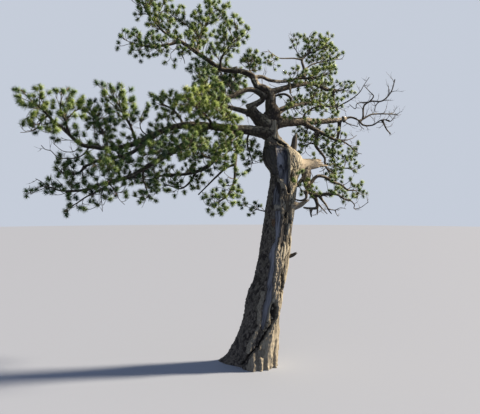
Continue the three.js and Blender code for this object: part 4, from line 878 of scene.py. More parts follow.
# %% Skins of limbs
# A limb's rings are LIMB_STEP mm apart. It wanders by a share of its radius, from 60 mm outside its parent
# on, in waves of nine radii. Its plates are 0.6 radii wide and lift by 0.1 radii, each between the limits
# after it in mm.
LIMB_STEP = 7
COLLAR = 0.5
WANDER, WANDER_SIZE, WANDER_FROM = 0.16, 9, 60
PLATE_SIZE, PLATE_LIMITS, PLATE_STRETCH = 0.6, (9, 24), 1.8
PLATE_LIFT, LIFT_LIMITS = 0.1, (1.2, 5)
KNOT_SIZE, KNOT_LIFT = 3.2, 0.22
GRAIN_WIDTH, DEAD_GRAIN_LIFT = 7, 1.5
SPLINTER_SIZE = 16
TIP_ROUNDS = 0.8
# How many times as thick a limb is as the solids' one.
STOUTER = {"bough_skirt": 1.4, "bough_skirt_arch": 1.15, "bough_right_low": 1.2, "foliage_right_low": 1.3,
           "foliage_right_knot": 1.3, "foliage_skirt_low": 1.4, "dead_twigs_right": 0.74}
# A burl's place and width as shares of the limb's length, and its height as a share of the radius. One
# below 0 is a waist.
BURLS = {"bough_knee": (0.92, 0.09, 0.65), "bough_skirt": (0.0, 0.16, -0.6),
         "dead_twigs_right": (0.02, 0.12, 1.0)}
NO_BURL = (0, 1, 0)
# Where a limb's bleached stretch starts and ends, as shares of its length.
BLEACHED_STRETCH = {"bough_right": (0.86, 1.1), "dead_twigs_right": (-0.1, 0.24), "bough_top": (0.55, 0.75),
                    "bough_crown": (0.35, 0.6)}


def stout(piece, name):
    """A limb as thick as it is seen to be: some show thicker, or thinner, than the solids' even share."""
    return {**piece, "radii": tuple(STOUTER.get(name, 1.0) * radius for radius in piece["radii"])}


def own_features(name):
    """The bleached stretch and the burl that one limb has, and no other."""
    return {"bleach_and_highlight": BLEACHED_STRETCH.get(name), "burl": BURLS.get(name, NO_BURL)}


def limb_surface(piece, buried, seed, sides, dead=0.0, splinters=0.0, bleach_and_highlight=None, burl=NO_BURL):
    """Points and marks of one limb. Radius = its taper * (1 + collar that dies away from where it leaves
    its parent, buried mm from its root + burl) + plates and lumps. splinters is how far a broken end is
    torn, in mm, and a burl has its place and width as shares of the length and its size as a share of the
    radius."""
    rings = max(8, round(piece["length"] / LIMB_STEP)) + 1
    share = np.linspace(0, 1, rings)
    run = share * piece["length"]
    plain = radius_at(piece, share)
    centre = at(piece["line"], share)
    sway = np.stack([lumps(centre, WANDER_SIZE * plain.mean(), seed + k) for k in range(3)], axis=-1)
    centre = centre + sway * (WANDER * plain * ease(run, buried, buried + WANDER_FROM))[:, None]
    ahead, across, up = carried_frames(centre)
    turn = turns(sides)
    spokes = across[:, None] * np.cos(turn)[:, None] + up[:, None] * np.sin(turn)[:, None]
    spot, width, swelling = burl
    body = plain * (1 + COLLAR * np.exp(-np.maximum(run - buried, 0) / plain[0])
                    + swelling * np.exp(-(((share - spot) / width) ** 2)))
    body = body[:, None] * np.ones(sides)

    down = run[:, None] / PLATE_STRETCH + 0 * body
    unrolled = np.stack([body * np.cos(turn), body * np.sin(turn), down], axis=-1)
    size = np.clip(PLATE_SIZE * plain.mean(), *PLATE_LIMITS)
    edge, plate = flakes(unrolled + 0.2 * size * lumps(unrolled, size, seed)[..., None], size, seed)
    knots = np.maximum(lumps(unrolled, KNOT_SIZE * size, seed + 5), 0) ** 2
    grain = lumps(unrolled * [1, 1, 0.15], GRAIN_WIDTH, seed + 2)
    lift = np.clip(PLATE_LIFT * plain.mean(), *LIFT_LIMITS)
    crust = lift * ((0.3 + 0.8 * plate) * ease(edge, 0, 0.4) - 0.6)
    relief = (1 - dead) * crust + dead * DEAD_GRAIN_LIFT * grain + KNOT_LIFT * body * knots
    torn = ease(share, 0.72, 1.0)[:, None] * splinters
    tear = torn * (lumps(unrolled * [2.2, 2.2, 0.0], SPLINTER_SIZE, seed + 3) - 0.2)
    radius = body + relief - (splinters > 0) * ease(share, 0.9, 1.0)[:, None] * 0.25 * body
    rounded = np.sqrt(np.clip((piece["length"] - run) / (TIP_ROUNDS * plain), 0.02, 1))
    radius = radius * np.where(splinters > 0, 1, rounded)[:, None]
    points = centre[:, None] + spokes * radius[..., None] + ahead[:, None] * tear[..., None]
    ends = np.stack([centre[0], centre[-1] - ahead[-1] * 0.6 * splinters])

    pale = np.zeros_like(body)
    if bleach_and_highlight:
        low, high = bleach_and_highlight
        pale = ease(share, low, low + 0.06) * (1 - ease(share, high - 0.05, high))
        upward = spokes[..., 2] - 0.6 * spokes[..., 1]
        pale = pale[:, None] * ease(upward + 0.6 * lumps(unrolled, 60, seed + 6), -0.2, 0.3)
    marks = {
        "stripped": dead + 0 * body,
        "crack_and_shade": (1 - dead) * (1 - ease(edge, 0.03, 0.25)) + dead * ease(grain, 0.35, 0.8),
        "plate": plate,
        # Upper sides: painted paler, as sunlit.
        "bleach_and_sunlight": ease(spokes[..., 2] + 0.5 * lumps(unrolled, 45, seed + 4), -0.3, 0.9),
        "bleach_and_highlight": np.maximum(pale, ease(share, 0.9, 1.0)[:, None] * (splinters > 0)),
        "shaded": 0 * body,
        "rusty": 0 * body,
    }
    marks = {name: np.append(values.ravel(), [0, 0]) for name, values in marks.items()}
    return np.vstack([points.reshape(-1, 3), ends]), tube_faces(1, rings, sides), marks


def joined(parts):
    """Several (points, faces, marks) as one."""
    starts = np.cumsum([0] + [len(points) for points, faces, marks in parts])
    points = np.vstack([part[0] for part in parts])
    faces = np.vstack([part[1] + start for part, start in zip(parts, starts)])
    marks = {name: np.concatenate([part[2][name] for part in parts]) for name in parts[0][2]}
    return points, faces, marks


# %% Bark of the boughs
# Young bark: closer and browner, with shallow cracks, so boughs show darker than the trunk but for their
# tops, which are painted paler as sunlit.
young_pine_bark = bark_material("young_pine_bark", crust=(0x2A2522, 0x554C43), lichen=0x686351,
                                sun=(0x8A806C, 0xC6BCA2), wood=(0x6E6C6B, 0x9A958B),
                                pale=(0xC4B698, 0xF0E6CE), crack_and_shade=(0x1C1713, 0x2E261F))
# Wood of the broken stubs: bleached to cream and split along the grain, the palest part of the tree, and
# made paler still with painted sunlight, so that faces in shade show as lit.
dead_heartwood_painted_sunlit = bark_material("dead_heartwood_painted_sunlit", crust=(0x5A5148, 0x8A7C68), lichen=0x8C8068,
                               sun=(0xA89C86, 0xD6CAB0), wood=(0xA0947E, 0xE0D3B8),
                               pale=(0xC0B096, 0xE8DCC2), crack_and_shade=(0x4A4036, 0x6A5E50))
# Wood of the spire and the peg: grey-brown and dull, with reddish cracks, so they stay quiet beside the
# stubs.
reddened_heartwood = bark_material("reddened_heartwood", crust=(0x4A3C34, 0x75655A), lichen=0x75685A,
                                   sun=(0x6A5E52, 0x8E8272), wood=(0x33312D, 0x65625B),
                                   pale=(0x55504A, 0x7C766C), crack_and_shade=(0x241A15, 0x3A2A22))


# How far stubs and snags have lost their bark, how long their splinters are in mm, and how deep roots are
# buried.
STUB_BARE, STUB_SPLINTERS = 0.85, 45.0
ARM_SPLINTERS, ARM_BURIED = 14.0, 20
SNAG_BARE, SNAG_SPLINTERS, SNAG_BURIED = 0.9, 26.0, 0.8
FACE_WIDTH = 6.5
FEWEST_SIDES, MOST_SIDES = 10, 48


def sides_for(radius):
    """How many faces go round a limb, so that each is about FACE_WIDTH mm wide."""
    return int(np.clip(round(2 * np.pi * radius / FACE_WIDTH), FEWEST_SIDES, MOST_SIDES))


bough_triangles = 0
for seed, (name, facts) in enumerate(BOUGHS.items(), start=20):
    broken = name.startswith("broken")
    root_height = limbs[name][0]["line"][0, 2]
    buried = girth_at(root_height) if facts["on"] == "trunk" else facts["radii"][0]
    parts = [limb_surface(stout(limbs[name][0], name), buried, seed, sides_for(facts["radii"][0]),
                          dead=STUB_BARE * broken, splinters=STUB_SPLINTERS * broken, **own_features(name))]
    for arm in limbs[name][1:]:
        parts.append(limb_surface(stout(arm, name), ARM_BURIED, seed + 40, sides_for(arm["radii"][0]),
                                  dead=STUB_BARE * broken, splinters=ARM_SPLINTERS * broken))
    points, faces, marks = joined(parts)
    piece = skin(name.replace("bough", "bark_bough"), points, faces,
                 [dead_heartwood_painted_sunlit if broken else young_pine_bark], marks)
    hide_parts(name)
    bough_triangles += len(faces)

for seed, (name, piece) in enumerate(snags.items(), start=90):
    buried = girth_at(piece["line"][0, 2]) * SNAG_BURIED
    points, faces, marks = limb_surface(piece, buried, seed, sides_for(piece["radii"][0]), dead=SNAG_BARE,
                                        splinters=SNAG_SPLINTERS)
    made = skin(name, points, faces, [reddened_heartwood], marks)
    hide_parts("trunk")
print("boughs and stubs", bough_triangles, "triangles")

# %% [markdown]
# ## Growing the foliage again
# The solids were grown by a rule: side twigs at an even pitch along each stem, each turned by the golden
# angle from the last and lifted to the light, and each made smaller until its tuft has room. The same rule
# runs here with the same chances, so the twigs stand where the solids' twigs do. Room is measured to stems
# and limbs as rows of short straight stretches.

# %% Room between limbs
# Lengths in mm. OWNER is the column of a stretch's row that holds the number of its mass.
GAP = 0.4
SAMPLE_STEP = 60
FEWEST_STRETCHES = 4
ELBOW_ROOM = 1.1
TRUNK_STRETCHES = 26
OWNER = 8
NO_MASS = -1


def rows_between(spots, radii, owner):
    """The straight stretches between places: start, end, radius at start, radius at end, and last the
    owner."""
    return np.column_stack([spots[:-1], spots[1:], radii[:-1], radii[1:], np.full(len(spots) - 1, owner)])


def stretches(piece, owner):
    """A limb as short straight stretches."""
    share = np.linspace(0, 1, max(FEWEST_STRETCHES, round(piece["length"] / SAMPLE_STEP)) + 1)
    return rows_between(at(piece["line"], share), radius_at(piece, share), owner)


trunk_spots = at(trunk_line, np.linspace(0, 1, TRUNK_STRETCHES + 1))
trunk_radii = girth_at(trunk_spots[:, 2]) * ELBOW_ROOM
rigid = [piece for name in BOUGHS for piece in limbs[name]] + list(snags.values())
wood = np.vstack([rows_between(trunk_spots, trunk_radii, NO_MASS)]
                 + [stretches(piece, NO_MASS) for piece in rigid])
twigwood = np.vstack([stretches(piece, n) for n, name in enumerate(MASSES) for piece in stems[name]])


def clear_of(point, rows, solid):
    """Distance from a point to each stretch, less the stretch's own radius there where solid is 1."""
    start, span = rows[:, :3], rows[:, 3:6] - rows[:, :3]
    share = np.clip(((point - start) * span).sum(axis=1) / (span * span).sum(axis=1), 0, 1)
    away = np.linalg.norm(start + span * share[:, None] - point, axis=1)
    return away - solid * (rows[:, 6] * (1 - share) + rows[:, 7] * share)


def room_for(n, point, radius, reach):
    """Whether a ball is within reach of its own stems, nearer to them than to others, and clear of wood."""
    away = clear_of(point, twigwood, 0)
    mine = twigwood[:, OWNER] == n
    own = away[mine].min()
    if own > reach or own + 2 * radius + GAP > away[~mine].min():
        return False
    return clear_of(point, wood, 1).min() > radius + GAP


# %% The twigs of one mass, by the rule of the solids
# In mm and radians, as the solids have them.
TUFT_LENGTH = 122
TUFT_RADIUS = 66
TUFT_MIDDLE = 0.52 * TUFT_LENGTH
TUFT_SPACING = 149
TUFT_LARGEST = 1.1
TUFT_VARIES = 0.2
TWIG_RADIUS = 5
TWIG_PITCH = 26
TWIG_STRAYS = 0.4
GOLDEN_ANGLE = 2.39996
TWIG_SPREAD = 0.95
TWIG_SPREAD_VARIES = 0.5
LEADER_SPREAD = 0.1
LEADER_REACH = 0.4
SHORTEST_REACH = 0.6
TWIG_LIFT = 0.35
TWIG_LEAST = 14
DRAWN_IN = (1, 0.85, 0.72, 0.6)
BARE_SHARE_LATER = 0.1
TWIG_NUMBERS = 40
ASIDE = np.array([0.2, 0.3, 1.0])


def spot_on(piece, share):
    """The place and the heading of a limb at a share of its length."""
    return at(piece["line"], share), heading_at(piece["line"], share)


def sideways(heading, angle):
    """A direction s square to a heading h, turned about it by an angle: s cos + (h x s) sin."""
    start = unit(np.cross(heading, ASIDE))
    return start * np.cos(angle) + np.cross(heading, start) * np.sin(angle)


def between(ends, share):
    """The number that lies a share of the way from the first to the second of two."""
    first, second = ends
    return first + (second - first) * share


def bare_share(mass, index):
    """The share of a stem that is bare: the mass's own for its first stem, and its own for a later one."""
    own_bare = mass["routes"][index][2:]
    return mass["bare"] if index == 0 else (own_bare or [BARE_SHARE_LATER])[0]


def sprays_of(n, name):
    """The twigs that the solids have in one mass, each with its root, heading, direction, length and
    size."""
    reach = MASSES[name]["reach"]
    kept = []
    for index, stem in enumerate(stems[name]):
        bare = bare_share(MASSES[name], index)
        count = max(2, round(stem["length"] * (1 - bare) / TWIG_PITCH))
        for i in range(count, -1, -1):
            twig = index * TWIG_NUMBERS + i
            leads = i == count
            s = bare + (1 - bare) * min(1, (i + TWIG_STRAYS * chance(n, twig, 1)) / count)
            root, heading = spot_on(stem, s)
            side = sideways(heading, twig * GOLDEN_ANGLE + chance(n, twig, 2))
            varied = TWIG_SPREAD + TWIG_SPREAD_VARIES * (chance(n, twig, 3) - 0.5)
            spread = LEADER_SPREAD if leads else varied
            direction = unit(heading * np.cos(spread) + side * np.sin(spread) + [0, 0, TWIG_LIFT])
            aim = LEADER_REACH if leads else SHORTEST_REACH + (1 - SHORTEST_REACH) * chance(n, twig, 4)
            for share in DRAWN_IN:
                size = (TUFT_LARGEST - TUFT_VARIES * chance(n, twig, 5)) * share
                length = max(TWIG_LEAST, share * reach * aim - TUFT_MIDDLE * size)
                middle = root + direction * (length + TUFT_MIDDLE * size)
                if any(np.linalg.norm(k["middle"] - middle) <= TUFT_SPACING * (size + k["size"]) / 2
                       for k in kept):
                    continue
                if not room_for(n, root + direction * length / 2, TWIG_RADIUS, reach):
                    continue
                if not room_for(n, middle, TUFT_RADIUS * size * ELBOW_ROOM, reach):
                    continue
                kept.append({"root": root, "heading": heading, "direction": direction, "length": length,
                             "size": size, "middle": middle, "thick": float(radius_at(stem, s))})
                break
    return kept


sprays = {name: ([] if name.startswith("dead") else sprays_of(n, name)) for n, name in enumerate(MASSES)}
print("sprays", sum(len(found) for found in sprays.values()))

# %% [markdown]
# ## Finer twigs
# Each blunt tuft of the solids stands for a small spray. Here it becomes a twig that bends up to the light,
# with side twigs that leave it by the same golden angle, and each of those ends in a few short shoots. Side
# twigs also stand along the leafy part of the stems. Every shoot ends in a tuft, and one whose tuft would
# sit on another tuft or on a limb is left out, which gives the even, airy spacing of a real crown.

# %% Twigs on twigs
# Lengths and radii are in mm and angles in radians. A reach is the shortest and the longest of its kind,
# strays are shares of the pitch, and LIFT is how much of a twig's way is up. BEND is where a twig bends, as
# a share of its length, BOW is how far it has turned by then, and OUT_OF_STEM is the same for a main twig.
SIDE_TWIGS, FEW_SIDE_TWIGS = 6, 2
SIDE_REACH = (55, 120)
SIDE_STRAYS = 0.6
FIRST_SHARE, FIRST_SHOOT = 0.3, 0.35
STEM_TWIG_PITCH = 34
STEM_TWIG_REACH = (70, 140)
MAIN_TWIG, STEM_TWIG = 5.0, 3.0
THINNER = 0.7
SHOOTS = 4
SHOOT_REACH = (26, 58)
SPREAD, SPREAD_VARIES = 0.85, 0.5
LEADER_LEAN, LEADER_AT = 0.12, 0.98
LIFT = 0.42
BEND = 0.45
BOW = 0.9
OUT_OF_STEM = (0.5, 0.7)
NEAR = 0.02
TUFTS_APART = (54, 68)
TUFT_OFF_WOOD = 18
REACH_BEYOND = 4
BOX_BEYOND = 12
# Where the numbers of a stem's twigs start in the draws of chance.
STEM_DRAWS, DRAWS_PER_STEM = 700, 90


def bent(root, first, direction, length):
    """A twig as three control points: it leaves along first and ends a length away along direction."""
    return np.stack([root, root + unit(first) * BEND * length, root + direction * length])


def along_bent(line, t):
    """A place on such a twig: (1-t)² a + 2t(1-t) b + t² c."""
    return (1 - t) ** 2 * line[0] + 2 * t * (1 - t) * line[1] + t**2 * line[2]


def side_shoots(line, count, reach, n, number, start=FIRST_SHARE, spread=SPREAD):
    """Twigs on a twig: the last one carries on ahead, and each other is turned by the golden angle."""
    grown = []
    for j in range(count + 1):
        ahead = j == count
        strays = SIDE_STRAYS * chance(n, number + j, 6)
        t = LEADER_AT if ahead else start + (1 - start) * (j + strays) / count
        root = along_bent(line, t)
        heading = unit(along_bent(line, t + NEAR) - along_bent(line, t - NEAR))
        side = sideways(heading, j * GOLDEN_ANGLE + number)
        lean = LEADER_LEAN if ahead else spread + SPREAD_VARIES * (chance(n, number + j, 7) - 0.5)
        way = unit(heading * np.cos(lean) + side * np.sin(lean) + [0, 0, LIFT])
        grown.append(bent(root, heading + BOW * way, way, between(reach, chance(n, number + j, 8))))
    return grown


def twigs_along(piece, shares, drawn, reach, parts, bow=1.0, extra=0.0, first_turn=0.0):
    """Twigs at some shares of a limb, each turned by the golden angle from the last. drawn holds the three
    numbers of the first one's chance, and the second of them counts on. parts are how much of a twig's way
    is the limb's heading, sideways and up. extra is added to its length."""
    n, number, draw = drawn
    ahead, out, up = parts
    rise = up + np.zeros(len(shares))
    longer = extra + np.zeros(len(shares))
    short, far = reach
    grown = []
    for j, s in enumerate(shares):
        root, heading = spot_on(piece, s)
        side = sideways(heading, j * GOLDEN_ANGLE + first_turn)
        way = unit(ahead * heading + out * side + [0, 0, rise[j]])
        length = longer[j] + short + (far - short) * chance(n, number + j, draw)
        grown.append(bent(root, heading + bow * way, way, length))
    return grown


def main_twigs(n, name):
    """A mass's own twigs: those of the solids, then shorter ones along the leafy part of its stems."""
    grown = []
    for spray in sprays[name]:
        whole = spray["length"] + TUFT_MIDDLE * spray["size"]
        first = OUT_OF_STEM[0] * spray["heading"] + OUT_OF_STEM[1] * spray["direction"]
        thick = min(MAIN_TWIG, THINNER * spray["thick"])
        grown.append((bent(spray["root"], first, spray["direction"], whole), thick, SIDE_TWIGS))
    for index, stem in enumerate(stems[name]):
        leafy = bare_share(MASSES[name], index)
        count = round(stem["length"] * (1 - leafy) / STEM_TWIG_PITCH)
        shares = leafy + (1 - leafy) * np.arange(count + 1) / count
        grown += [(line, STEM_TWIG, FEW_SIDE_TWIGS) for line in twigs_along(
            stem, shares, (n, STEM_DRAWS + index * DRAWS_PER_STEM, 8), STEM_TWIG_REACH,
            (np.cos(SPREAD), np.sin(SPREAD), LIFT), bow=BOW, first_turn=index)]
    return grown


# %% Grow each mass
# Where the tree lets the sky through, as (across, up, radius) seen from the standpoint: no tuft shows
# there.
OPEN_SKY = np.array([
    (-2300, 2860, 110), (-2150, 2870, 105), (-1900, 2870, 125), (-1750, 2850, 115), (-1700, 2745, 60),
    (-1310, 2930, 135), (-1170, 2860, 90), (-1470, 2920, 70), (-2380, 2290, 115), (-2360, 2440, 80),
    (-2020, 2065, 85), (-1900, 1560, 55), (-1450, 1550, 75), (-480, 1610, 60), (50, 1700, 50),
    (60, 1990, 75), (230, 3200, 95), (340, 3180, 60), (560, 3410, 105), (690, 3370, 60),
    (1180, 2080, 115), (1160, 2240, 75), (740, 1790, 62), (1180, 1770, 50), (-1230, 3570, 90),
    (-1270, 3160, 50), (-10, 3480, 95), (50, 3330, 65), (20, 3210, 60), (-690, 2830, 60),
    (-930, 2770, 60), (-160, 2590, 80), (-60, 2560, 60), (-250, 1900, 60), (420, 2560, 40),
    (330, 2640, 50), (620, 2560, 40), (300, 2250, 155), (420, 2150, 50), (560, 2110, 50),
    (1000, 2380, 60), (-1030, 2900, 120), (370, 3370, 80), (-2420, 2760, 60), (-2270, 2350, 60),
    (-2060, 1920, 75), (-1900, 1850, 50), (-1700, 1850, 45), (-2240, 2520, 60), (-1540, 2760, 40),
    (0, 1650, 45), (90, 1650, 40), (-60, 1790, 50), (360, 3260, 55), (-1550, 1500, 70), (-1630, 1600, 50),
    (-1860, 1630, 50),
])
# The size of each group's tufts, where 1 is a tuft as it is drawn once further down.
TUFT_SIZES = {"left": 1.1, "low": 1.0, "middle": 1.04, "crown": 0.93, "arch": 0.95, "right": 0.8,
              "right_low": 0.76, "skirt": 0.8}
# Radii in mm at the root and at the tip. A side twig is no thicker than the twig that carries it.
SHOOT_RADII = (2.0, 1.5)
SIDE_TWIG_RADII = (2.8, 1.9)
MAIN_TWIG_TIP = 2.6
# How many draws of chance each main twig keeps for itself, and how far apart its shoots' draws are.
DRAWS_PER_TWIG = 40
SHOOT_DRAWS, DRAWS_PER_SIDE = 8, 7
twig_rows, shoot_rows, tuft_rows = [], [], []
tuft_tips = np.zeros((0, 3))
lowest, highest = np.array(cad_box) / MM + [[-BOX_BEYOND], [BOX_BEYOND]]


def has_room(tip, apart, own, reach):
    """Whether a tuft keeps its distance from other tufts, open sky and limbs, and is within reach of its
    own."""
    if np.any(((tuft_tips - tip) ** 2).sum(axis=1) < apart**2):
        return False
    if np.any(tip < lowest) or np.any(tip > highest):
        return False
    if np.any(np.linalg.norm(OPEN_SKY[:, :2] - shown_at(tip), axis=1) < OPEN_SKY[:, 2]):
        return False
    return clear_of(tip, own, 0).min() < reach and clear_of(tip, wood, 1).min() > TUFT_OFF_WOOD


def grow(mains, n, group, fresh, full, own, reach):
    """Grows side twigs and shoots on main twigs, each (line, thickness, side twigs), and keeps those whose
    tufts have room. full is the share of the side twigs that live."""
    global tuft_tips
    size = TUFT_SIZES[group]
    number = 0
    for main, thick, sides in mains:
        number += DRAWS_PER_TWIG
        used = False
        for k, line in enumerate(side_shoots(main, sides, SIDE_REACH, n, number)):
            if chance(n, number + k, 14) > full:
                continue
            carries = False
            draws = number * SHOOT_DRAWS + k * DRAWS_PER_SIDE
            for j, shoot in enumerate(side_shoots(line, SHOOTS, SHOOT_REACH, n, draws, FIRST_SHOOT)):
                tip = shoot[2]
                apart = size * between(TUFTS_APART, chance(n, number + j, 11 + k))
                if not has_room(tip, apart, own, reach):
                    continue
                carries = True
                tuft_tips = np.vstack([tuft_tips, tip])
                shoot_rows.append({"line": shoot, "thick": SHOOT_RADII, "group": group})
                tuft_rows.append({"tip": tip, "direction": unit(shoot[2] - shoot[1]), "group": group,
                                  "fresh": fresh, "chance": chance(n, number + k, 12 + j), "size": size,
                                  "spin": 2 * np.pi * chance(n, number + j, 13 + k)})
            if carries:
                used = True
                thin = (min(thick, SIDE_TWIG_RADII[0]), SIDE_TWIG_RADII[1])
                twig_rows.append({"line": line, "thick": thin, "group": group})
        if used:
            twig_rows.append({"line": main, "thick": (thick, MAIN_TWIG_TIP), "group": group})


for n, (name, mass) in enumerate(MASSES.items()):
    if mass["group"] != "dead":
        own = twigwood[twigwood[:, OWNER] == n]
        reach = mass["reach"] + REACH_BEYOND
        grow(main_twigs(n, name), n, mass["group"], mass["fresh"], mass["full"], own, reach)
print("twigs", len(twig_rows), "shoots", len(shoot_rows), "tufts", len(tuft_rows))

# %% Leafy spurs straight on the boughs
# Each line: the group, how fresh and sunlit its green is, partly painted sun and shade, how full, and the
# share of the bough where they start and end.
LEAFY_BOUGHS = {
    "bough_left": ("middle", 0.4, 0.5, 0.3, 1.0), "bough_left_upper": ("left", 0.4, 0.65, 0.0, 1.0),
    "bough_left_middle": ("left", 0.25, 0.6, 0.1, 1.0), "bough_left_low": ("low", 0.3, 0.6, 0.15, 1.0),
    "bough_center_low": ("low", 0.35, 0.75, 0.15, 1.0), "bough_arch": ("arch", 0.3, 0.7, 0.4, 1.0),
    "bough_top_left": ("crown", 0.4, 0.6, 0.05, 1.0), "bough_right_upper": ("right", 0.5, 0.6, 0.3, 1.0),
    "bough_crown": ("right", 0.6, 0.6, 0.5, 1.0), "bough_right": ("right", 0.5, 0.25, 0.45, 0.8),
    "bough_right_low": ("right_low", 0.4, 0.5, 0.12, 1.0),
    "bough_skirt_arch": ("skirt", 0.4, 0.5, 0.4, 1.0), "bough_skirt": ("skirt", 0.3, 0.3, 0.5, 1.0),
    "bough_back_left": ("arch", 0.4, 0.6, 0.5, 1.0), "bough_back_right": ("right", 0.5, 0.35, 0.5, 1.0),
}
# Lengths in mm. LEAFY_WAY is how much of a spur's way is along the bough, out from it and up.
LEAFY_PITCH = 38
LEAFY_REACH = (45, 110)
LEAFY_OFF_BOUGH = 130
LEAFY_TWIG = 3.2
LEAFY_WAY = (0.6, 1.0, 0.5)
for n, (name, (group, fresh, full, start, end)) in enumerate(LEAFY_BOUGHS.items(), start=60):
    piece = limbs[name][0]
    count = round(piece["length"] * (end - start) / LEAFY_PITCH)
    shares = start + (end - start) * (np.arange(count) + 0.5) / count
    radii = [radius_at(piece, s) for s in shares]
    spurs = twigs_along(piece, shares, (n, 0, 15), LEAFY_REACH, LEAFY_WAY, extra=radii, first_turn=n)
    mains = [(line, LEAFY_TWIG, FEW_SIDE_TWIGS) for line in spurs]
    grow(mains, n, group, fresh, full, stretches(piece, n), LEAFY_OFF_BOUGH)
print("with leafy spurs", len(tuft_rows), "tufts")

